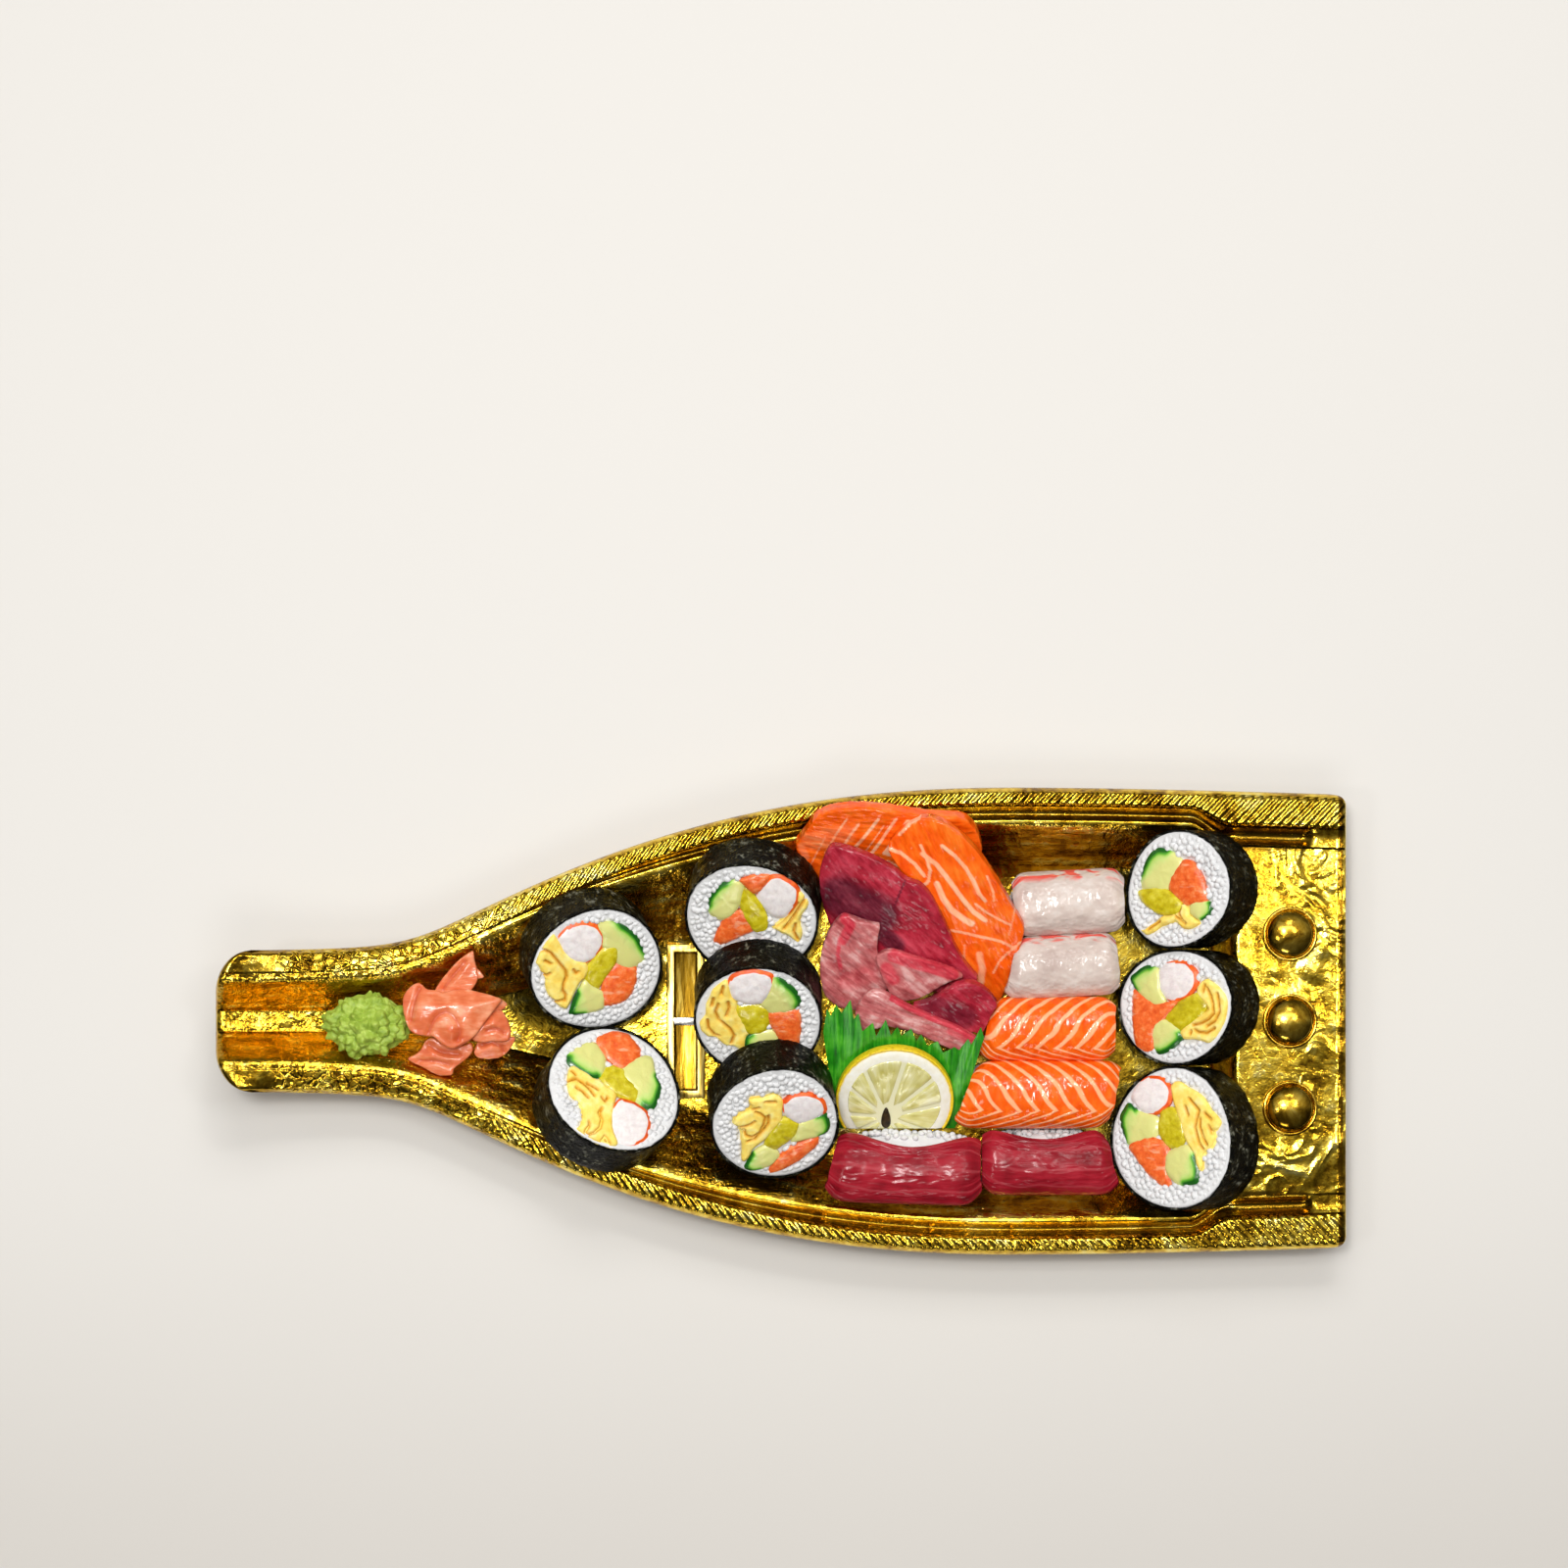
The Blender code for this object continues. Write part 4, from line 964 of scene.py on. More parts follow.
        ("cucumber", 145, [(1153, 998), (1170, 987), (1182, 990), (1182, 1009), (1189, 1021),
            (1180, 1026), (1169, 1017), (1158, 1006)]),
        ("salmon", 0, [(1156, 1009), (1169, 1018), (1181, 1026), (1202, 1021), (1194, 1031), (1186, 1040),
            (1177, 1049), (1178, 1068), (1169, 1071), (1156, 1065)]),
        ("radish", 0, [(1188, 1037), (1206, 1023), (1223, 1013), (1231, 1028), (1220, 1040), (1208, 1051),
            (1194, 1049)]),
        ("egg", 0, [(1221, 1008), (1225, 1002), (1231, 998), (1236, 1001), (1243, 1006), (1250, 1014),
            (1254, 1022), (1253, 1032), (1251, 1042), (1246, 1050), (1240, 1060), (1233, 1065),
            (1226, 1062), (1216, 1060), (1208, 1061), (1203, 1054), (1208, 1048), (1216, 1041),
            (1226, 1034), (1233, 1030), (1230, 1024), (1224, 1019), (1221, 1014)]),
        ("cucumber", -50, [(1172, 1049), (1183, 1040), (1200, 1049), (1206, 1059), (1191, 1071),
            (1181, 1074)])]},
    "roll_stern_starboard": {"lean": (177, 37), "press": (1.05, 1.0, 0.0),
        "wobble": (0.020, 2.0, 0.020, 0.6), "creases": [[(1214, 1121), (1220, 1128), (1224, 1133),
        (1222, 1140), (1220, 1150), (1222, 1158), (1224, 1166), (1228, 1172)], [(1210, 1129),
        (1213, 1138)], [(1230, 1136), (1236, 1142)], [(1225, 1142), (1225, 1150), (1228, 1160),
        (1232, 1168)], [(1234, 1149), (1237, 1156)]], "fillings": [
        ("crab", 10, [(1155, 1120), (1161, 1106), (1172, 1099), (1186, 1101), (1195, 1112), (1192, 1126),
            (1181, 1135), (1167, 1134)]),
        ("egg", 0, [(1194, 1108), (1199, 1103), (1204, 1103), (1212, 1109), (1222, 1114), (1229, 1120),
            (1236, 1132), (1242, 1138), (1247, 1145), (1243, 1152), (1238, 1153), (1240, 1162),
            (1236, 1170), (1228, 1176), (1226, 1182), (1228, 1190), (1224, 1196), (1220, 1188),
            (1219, 1178), (1213, 1170), (1208, 1160), (1204, 1146), (1199, 1132), (1196, 1120)]),
        ("cucumber", 165, [(1145, 1140), (1153, 1126), (1162, 1137), (1181, 1140), (1180, 1156),
            (1175, 1163), (1152, 1167), (1147, 1152)]),
        ("radish", 0, [(1186, 1135), (1197, 1131), (1205, 1143), (1208, 1159), (1203, 1171), (1191, 1168),
            (1183, 1154)]),
        ("salmon", 0, [(1153, 1170), (1175, 1162), (1189, 1168), (1192, 1178), (1189, 1193), (1194, 1209),
            (1183, 1207), (1175, 1199), (1164, 1185)]),
        ("cucumber", -20, [(1191, 1178), (1203, 1173), (1212, 1170), (1222, 1190), (1222, 1206),
            (1203, 1207), (1191, 1196)])]},
}


def powerReach(angle, halfX, halfY, power):
    return ((abs(math.cos(angle)) / halfX) ** power
        + (abs(math.sin(angle)) / halfY) ** power) ** (-1 / power)


def cutEnd(kind, ring, skinWay, deep,
    chance):  # one filling in its place on the cut face, with its skin marked
    centreX, centreY = middleOf(ring)
    drawn = rounded([(x - centreX, y - centreY) for x, y in ring], 2, 0.16)
    piece = copyOf(plug)
    spots, skins, known = [], [], {}
    tilt = chance.uniform(-0.05, 0.05), chance.uniform(-0.05, 0.05)
    for x, y, z in points(piece):
        r, angle = math.hypot(x, y), round(math.atan2(y, x), 3)
        if angle not in known:
            known[angle] = max(0.0004, polygonReach(angle, drawn) + 0.0011)
        reach = known[angle]
        px, py = r * reach * math.cos(angle), r * reach * math.sin(angle)
        facing = math.cos(angle - skinWay)
        if kind == "cucumber":
            skins.append(0.34 * max(0.0, r * facing) + 0.66
                * float(ease(0.50, 0.96, r) * ease(0.15, 0.55, facing)))
        else:
            skins.append(float(ease(0.74 if facing > 0 else 0.88, 0.94, r) * ease(-0.9, -0.2, facing)))
        bulge = 0.0005 * (1 - r * r) - 0.0007 * float(ease(0.84, 1.0,
            r)) + 0.0003 * noise.noise(Vector((px * 420, py * 420, centreX * 900)))
        spots.append((centreX + px, centreY + py, math.copysign(1, z)
            * (deep / 2 + bulge + tilt[0] * px + tilt[1] * py)))
    reshape(piece, spots)
    mark(piece, "skin", np.array(skins))
    return piece


def eggTop(ring, creases, matrix, deep,
    seed):  # folded sheets of egg, cut across: an even face with its folds pressed in
    top = drawnSlab(rounded(ring, 1), 0.0034, 0.00040, 2)
    spots = points(top)
    near = pressed(spots, creases, matrix)
    rim = away(spots[:, :2], ring)
    lump = np.array([noise.noise(Vector((x * 300, y * 300, seed))) for x, y, z in spots])
    drop = 0.0013 * np.exp(-(near / 0.00050) ** 2) + 0.0007 * (1 - ease(0, 0.0011, rim)) - 0.00025 * lump
    spots[:, 2] += deep / 2 - 0.0009 - drop * (spots[:, 2] > 0)
    reshape(top, spots)
    mark(top, "crease", np.exp(-near / 0.00075))
    return top


def rollReach(angle, along, across, wobble):
    return powerReach(angle, along, across, 2.0) * (1 + wobble[0] * math.sin(2 * angle + wobble[1])
        + wobble[2] * math.sin(3 * angle + wobble[3]))


rollSizes = {"grow": 0.0009, "sheet": 0.0005, "soft": 0.001, "inside": 0.0020, "mat": 0.0012,
    "grains": 0.0024, "near": (0.00170, 0.0028)}


def buildRoll(name, facts, seed):
    chance = random.Random(seed)
    direction, angle = facts["lean"]
    turned = leaning(direction, angle, direction)
    seat, half = nodeFrame(name + "_nori", turned)
    wider, taller, aside = facts.get("press",
        (1, 1, 0))  # how far the slice is pressed out of round, and moved
    seat = seat @ Matrix.Translation((aside, 0, 0))
    along, across, deep = (half[0] + rollSizes["grow"]) * wider, (half[1]
        + rollSizes["grow"]) * taller, half[2] * 2
    wobble = facts["wobble"]
    flat = turned.transposed()

    face = seat @ Matrix.Translation((0, 0, deep / 2))

    def kept(a, b, margin):  # pulls a spot inside the seaweed
        way, far = math.atan2(b, a), math.hypot(a, b)
        soft = rollReach(way, along, across, wobble) - margin - rollSizes["soft"]
        if far > soft:
            far = soft + rollSizes["soft"] * (1 - math.exp((soft - far) / rollSizes["soft"]))
        return far * math.cos(way), far * math.sin(way)

    # seaweed
    belt = start("primitive_cylinder_add", vertices=120, radius=1, depth=2, end_fill_type="NOTHING")
    edited(belt, ("subdivide", {"number_cuts": 1}))
    modify(belt, "SUBSURF", subdivision_type="SIMPLE", levels=2, render_levels=2)
    spots = []
    for x, y, z in points(belt):
        way = math.atan2(y, x)
        reach = rollReach(way, along, across, wobble) - 0.0003
        crease = noise.noise(Vector((x * 5, y * 5, z * 2.0 + seed))) * 0.00035 + noise.noise(Vector((x
            * 16, y * 16, z * 3 + seed))) * 0.00022
        tall = z * deep / 2 + (0.00035 * noise.noise(Vector((x * 9, y * 9, seed))) if abs(z) > 0.95
            else 0)
        waist = -0.0007 * (1 - z * z)
        spots.append(((reach + crease + waist * 0.3) * math.cos(way),
            (reach + crease + waist * 0.3) * math.sin(way), tall))
    reshape(belt, spots)
    modify(belt, "SOLIDIFY", thickness=rollSizes["sheet"], offset=-1)
    reshape(belt, laidOn(points(belt), seat))
    finished(belt, name + "_seaweed", name, [name + "_nori"],
        noriFinish, seat, (seed * 0.1, 0, 0))

    # fillings
    outlines = []
    for number, (kind, skin, dots) in enumerate(facts["fillings"]):
        ring = [kept(*onPlane(dotX, dotY, face), rollSizes["inside"]) for dotX, dotY in dots]
        outlines.append(ring)
        if kind == "egg":
            piece = eggTop(ring, facts["creases"], face, deep, seed)
            bed = cutEnd("bed", ring, 0, deep - 0.0020, chance)
            finished(bed, f"{name}_egg_bed_{number}", name, [name + "_filling"],
                eggFinish, seat, angle=50)
        else:
            toward = flat @ Vector((math.cos(math.radians(skin)), math.sin(math.radians(skin)), 0))
            piece = cutEnd(kind, ring, math.atan2(toward.y, toward.x),
                deep + chance.uniform(0.0006, 0.0014), chance)
        finished(piece, f"{name}_{kind}_{number}", name, [name + "_filling"],
            fillingFinishes[kind], seat, angle=50)

    # rice
    mat = copyOf(plug)
    spots = []
    for x, y, z in points(mat):
        r, way = math.hypot(x, y), math.atan2(y, x)
        reach = r * (rollReach(way, along, across, wobble) - rollSizes["mat"])
        lump = 0.0004 * noise.noise(Vector((x * 9, y * 9, seed)))
        spots.append((reach * math.cos(way), reach * math.sin(way),
            math.copysign(deep / 2 - 0.0005 + lump * 0.5 - 0.0008 * float(ease(0.86, 0.74, r)), z)))
    reshape(mat, spots)
    seats, taken = [], []
    for top in (1, -1):
        tries = 2600 if top > 0 else 900
        near = rollSizes["near"][0 if top > 0 else 1]
        tried = []
        for _ in range(tries):
            way = chance.uniform(0, fullTurn)
            reach = rollReach(way, along, across, wobble) - rollSizes["grains"]
            share = math.sqrt(chance.uniform(0.0 if chance.random() < 0.2 else 0.40, 1.0))
            tried.append((share * reach * math.cos(way), share * reach * math.sin(way), share))
        tried = np.array(tried)
        for ring in outlines:
            tried = tried[~within(tried[:, :2], ring) & (away(tried[:, :2], ring) > 0.0010)]
        for x, y, share in tried:
            if any(t == top and math.hypot(x - u, y - v) < near for u, v, t in taken):
                continue
            taken.append((x, y, top))
            high = deep / 2 - 0.0008 + chance.uniform(-0.0002,
                0.0002) - 0.0006 * float(ease(0.93, 1.0, share))
            seats.append((Vector((x, y, top * high)), Vector((0, 0, top))))
    grains = scattered(name + "_grains", seats, chance)
    rice = joined([mat, grains])
    finished(rice, name + "_rice_ring", name, [name + "_rice"], riceFinish, seat)
    return len(seats)


for seed, (name, facts) in enumerate(rolls.items()):
    count = buildRoll(name, facts, seed + 3)
    print("rolled", name, "with", count, "grains")


# nigiri: a block of rice grains under a draped slice
def wetFlesh(name, gloss=0.42, rough=0.13, **more):
    return Finish(name, Roughness=rough, Specular_IOR_Level=gloss, Subsurface_Weight=0.12,
        Subsurface_Scale=0.002, **more)


def salmonLook(name, way, apex, upper, lower, period, pale=0.9, warp=0.0022, thin=0.07):
    finish = wetFlesh(name, Subsurface_Radius=(1.0, 0.35, 0.12))
    lay = finish.lay()
    x, y = finish.split(lay)[:2]
    drift = finish.cloud(lay, 110.0, 2.0)
    rise = y - apex + 0.0016 * (drift - 0.5)
    up = rise.sum("MAXIMUM", 0.0)
    down = (-rise).sum("MAXIMUM", 0.0)
    phase = (x + warp * (finish.cloud(lay, 70.0, 2.0) - 0.5) * 2.0 - way
        * (up * upper + down * lower)) / period
    edge = phase.sum("PINGPONG", 0.5)
    thick = thin + 0.10 * (finish.cloud(lay, 130.0, 2.0) - 0.4)
    line = finish.step(edge / thick, 0.55, 1.25, pale, 0.0)
    flesh = finish.cloud(lay, 260.0, 4.0, 0.6)
    tint = finish.ramp(flesh, [(0.30, (0.80, 0.075, 0.002)), (0.52, (0.93, 0.125, 0.004)),
        (0.74, (1.0, 0.20, 0.018))])
    finish.feed("Base Color", finish.blend(line, tint, (1.0, 0.47, 0.24)))
    finish.relief(line * 0.2 + 0.3 * flesh + 1.2 * finish.cloud(lay, 300.0, 1.0), 0.7, 0.0010)
    return finish


def tunaLook(name, dark, mid, light, turn=0.2):
    finish = wetFlesh(name, 0.22, 0.18, Subsurface_Radius=(1.0, 0.2, 0.2))
    lay = finish.lay()
    grainWay = finish.cloud(finish.turn(lay, (60, 420, 300), (0, 0, turn)), 1.0, 4.0, 0.6, 0.3)
    broad = finish.cloud(lay, 75.0, 3.0)
    sinew = finish.bands(finish.turn(lay, (1, 1, 1), (0, 0, turn)), "Y", 52.0, 4.0, 3.0, 0.8)
    tint = finish.ramp(grainWay * 0.45 + broad * 0.55, [(0.34, dark), (0.50, mid), (0.68, light)])
    finish.feed("Base Color", finish.blend(finish.step(sinew, 0.92, 1.0, 0.0, 0.20),
        tint, (0.60, 0.13, 0.15)))
    finish.relief(1.0 * finish.cloud(finish.turn(lay, (160, 520, 300), (0, 0, turn)),
        1.0, 1.0, 0.5, 0.3) + 0.2 * broad + 0.1 * grainWay, 0.55, 0.0009)
    return finish


breamFinish = wetFlesh("sea_bream", 0.36, 0.18, Subsurface_Radius=(1.0, 0.75, 0.7))
breamLay = breamFinish.lay()
breamY = breamFinish.split(breamLay)[1]
breamCloud = breamFinish.cloud(breamFinish.turn(breamLay, (110, 240, 200), (0, 0, 0.5)), 1.0, 4.0, 0.6)
breamStreak = breamFinish.cloud(breamFinish.turn(breamLay, (130, 330, 1), (0, 0, 0.5)),
    1.0, 2.0, 0.5, 0.6)
breamBand = breamFinish.step(breamY + 0.006 * (breamStreak - 0.5), 0.0058, 0.0092)
breamTint = breamFinish.ramp(breamCloud, [(0.30, (0.52, 0.41, 0.37)), (0.52, (0.63, 0.53, 0.48)),
    (0.74, (0.74, 0.67, 0.63))])
breamFinish.feed("Base Color", breamFinish.blend(breamBand * breamFinish.step(breamStreak, 0.46, 0.58),
    breamTint, (0.78, 0.11, 0.085)))
breamFinish.relief(0.4 * breamCloud + 1.2 * breamFinish.cloud(breamFinish.turn(breamLay, (260, 420, 300),
    (0, 0, 0.5)), 1.0, 1.0), 0.7, 0.0009)

nigiriFinishes = {
    "salmonLeft": salmonLook("salmon_chevron_left", 1, -0.0055, 1.30, 2.6, 0.0072, 0.95, 0.0012, 0.15),
    "salmonRight": salmonLook("salmon_chevron_right", -1, -0.0042, 1.20, 2.6, 0.0070, 0.95, 0.0012, 0.15),
    "tuna": tunaLook("tuna_topping", (0.16, 0.004, 0.009), (0.31, 0.009, 0.020), (0.46, 0.026, 0.044),
        0.06),
    "bream": breamFinish,
}
# ends: left end at the upper and lower side, right end at the upper and lower side, as dots of the frame;
# sides: how far the slice hangs out to the upper and lower side, in millimetres
nigiri = {
    "nigiri_bream_outer": {"heading": 3, "lean": 0, "look": "bream", "slot": "bream",
        "ends": (1034, 1036, 1149, 1147), "sides": (12.3, 11.4)},
    "nigiri_bream_inner": {"heading": 3, "lean": 0, "look": "bream", "slot": "bream",
        "ends": (1040, 1024, 1141, 1143), "sides": (11.4, 11.6)},
    "nigiri_salmon_inner": {"heading": 0, "lean": 0, "look": "salmonLeft", "slot": "salmon",
        "ends": (1016, 998, 1139, 1139), "sides": (11.3, 12.2)},
    "nigiri_salmon_outer": {"heading": 0, "lean": 0, "look": "salmonRight", "slot": "salmon",
        "ends": (997, 974, 1146, 1133), "sides": (12.1, 12.9)},
    "nigiri_tuna_fore": {"heading": -2, "lean": 14, "look": "tuna", "slot": "tuna",
        "ends": (857, 842, 1000, 1001), "sides": (11.5, 15.2), "bare": 58},
    "nigiri_tuna_aft": {"heading": 0, "lean": 12, "look": "tuna", "slot": "tuna",
        "ends": (1003, 1001, 1127, 1143), "sides": (11.8, 13.4), "bare": 50},
}


def roundPower(value, power):
    return math.copysign(abs(value) ** (2 / power), value)


nigiriSizes = {"bulge": 1.22, "inset": (0.001, 0.0011), "seat": 0.0007, "apart": 0.0021, "view": 0.024,
    "gap": 0.0003, "thick": 0.0052}


def buildNigiri(name, facts, seed):
    chance = random.Random(seed)
    turned = leaning(90, facts["lean"], facts["heading"])
    seat, (long, wide, tall) = nodeFrame(name + "_rice", turned)
    bulge = nigiriSizes["bulge"] if facts.get("bare") else 1.0  # the bare side of the rice swells out

    # rice
    endInset, inset = nigiriSizes["inset"]
    core = start("primitive_uv_sphere_add", segments=36, ring_count=20, radius=1)
    spots = []
    for x, y, z in points(core):
        size = max(abs(x) ** 2.8 + abs(y) ** 2.8 + abs(z) ** 2.8, 1e-9) ** (-1 / 2.8)
        spots.append((x * size * (long - endInset), y * size * (wide - inset) * (bulge if y > 0 else 1),
            z * size * (tall - inset)))
    reshape(core, spots)
    sunk = nigiriSizes["seat"]
    seats, taken = [], []
    for _ in range(1500):
        u, way = chance.uniform(-1, 1), chance.uniform(0, fullTurn)
        if abs(u) < 0.93 and 0.85 < way < 2.29:
            continue
        shrink = (1 - abs(u * 0.99) ** 4) ** 0.25
        if abs(u) > 0.94:
            shrink *= math.sqrt(chance.uniform(0.05, 1))
        normal = Vector((math.copysign(abs(u) ** 8, u) * 1.3, math.cos(way), math.sin(way))).normalized()
        out = bulge if math.cos(way) > 0 else 1
        spot = Vector((u * (long - sunk), roundPower(math.cos(way), 2.6) * (wide - sunk) * shrink * out,
                       roundPower(math.sin(way), 2.6) * (tall - sunk) * shrink))
        if any((spot - other).length < nigiriSizes["apart"] for other in taken):
            continue
        taken.append(spot)
        seats.append((spot, normal))
    rice = joined([core, scattered(name + "_grains", seats, chance)])
    reshape(rice, laidOn(points(rice), seat))
    finished(rice, name + "_rice_block", name, [name + "_rice"], riceFinish, seat)

    # draped slice
    fish = start("primitive_cube_add", size=2)
    edited(fish, ("subdivide", {"number_cuts": 34}))
    leftUp, leftDown, rightUp, rightDown = [underView(dot, viewMiddle[1],
        nigiriSizes["view"])[0] - seat.translation.x for dot in facts["ends"]]
    gap = nigiriSizes["gap"]
    spots, lays = [], []
    for u, v, w in points(fish):
        out = (w + 1) / 2
        begin = 14 + 30 * abs(u) ** 9 + (facts.get("bare", 0) * (1 - u * u) if v > 0 else 0)
        way = math.radians(90 - v * (90 - begin))
        side = facts["sides"][0 if v > 0 else 1] / 1000 / 0.955 + 0.0006
        edge = (1 - 0.45 * float(ease(0.84, 1.0, abs(u)))) * (1 - 0.25 * float(ease(0.88, 1.0, abs(v))))
        lump = noise.noise(Vector((u * 2.2, v * 1.6, seed))) * 0.0007 + noise.noise(Vector((u * 6, v * 5,
            seed + 4.0))) * 0.0003
        thickY = max(0.0010, side - wide - gap) * edge * out
        thickZ = (nigiriSizes["thick"] + lump) * edge * out
        y = roundPower(math.cos(way), 2.6) * (wide + gap + thickY)
        z = roundPower(math.sin(way), 2.6) * (tall + gap + thickZ)
        share = (v + 1) / 2
        left, right = leftDown + (leftUp - leftDown) * share, rightDown + (rightUp - rightDown) * share
        ragged = 1 + 0.03 * noise.noise(Vector((v * 2.0, seed, math.copysign(3, u))))
        x = ((left + right) / 2 + u * (right - left) / 2) * ragged
        spots.append((x, y, z))
        lays.append((x + seed * 0.0037, v * side * 1.05, w * 0.003 + seed))
    reshape(fish, spots)
    mark(fish, "lay", np.array(lays))
    modify(fish, "SMOOTH", factor=0.5, iterations=2)
    finished(fish, name + "_fish", name, [name + "_slice"], nigiriFinishes[facts["look"]],
        seat)


for seed, (name, facts) in enumerate(nigiri.items()):
    buildNigiri(name, facts, seed + 21)
print("nigiri laid:", len(nigiri))


# sashimi: cut slices, drawn as seen from above and laid on the planes of their solids
# flesh with drawn streaks of another colour
def streaked(name, radius, plainStops, streakStops, share, turn=0.5):
    finish = wetFlesh(name, Subsurface_Radius=radius)
    lay = finish.lay()
    streak = finish.lay("streak", "Fac")
    fibre = finish.cloud(finish.turn(lay, (80, 380, 200), (0, 0, turn)), 1.0, 4.0, 0.6, 0.4)
    broad = finish.cloud(lay, 170.0, 4.0, 0.6)
    mixed = fibre * 0.5 + broad * 0.5
    sharp = finish.step(streak + 0.35 * (fibre - 0.5), 0.12, 0.80, 0.0, share)
    finish.feed("Base Color", finish.blend(sharp, finish.ramp(mixed, plainStops),
        finish.ramp(mixed, streakStops)))
    finish.relief(0.3 * fibre + 0.3 * broad + 1.3 * finish.cloud(finish.turn(lay, (120, 330, 200),
        (0, 0, turn)), 1.0, 1.0) + 0.1 * streak, 0.8, 0.0012)
    return finish


sashimiFinishes = {
    "salmon": streaked("salmon_slice", (1.0, 0.35, 0.12), [(0.34, (0.78, 0.070, 0.002)),
        (0.50, (0.95, 0.125, 0.004)), (0.66, (1.0, 0.22, 0.020))],
        [(0.34, (0.98, 0.36, 0.16)), (0.60, (1.0, 0.58, 0.36))], 0.92, 0.3),
    # tuna streaks are darker: the outer slice's dark lobe is its own flesh, the patch at its lower edge
    # is painted shadow
    "tuna": streaked("tuna_slice", (1.0, 0.2, 0.2), [(0.34, (0.22, 0.006, 0.016)),
        (0.50, (0.40, 0.018, 0.038)), (0.66, (0.58, 0.060, 0.095))],
        [(0.34, (0.035, 0.004, 0.009)), (0.50, (0.085, 0.008, 0.020)), (0.66, (0.20, 0.030, 0.050))],
        0.92, 0.7),
    "yellowtail": streaked("yellowtail", (1.0, 0.5, 0.5), [(0.37, (0.36, 0.060, 0.066)),
        (0.50, (0.56, 0.17, 0.168)), (0.61, (0.74, 0.42, 0.40))],
        [(0.34, (0.44, 0.010, 0.030)), (0.60, (0.72, 0.060, 0.090))], 0.92, 0.5),
}
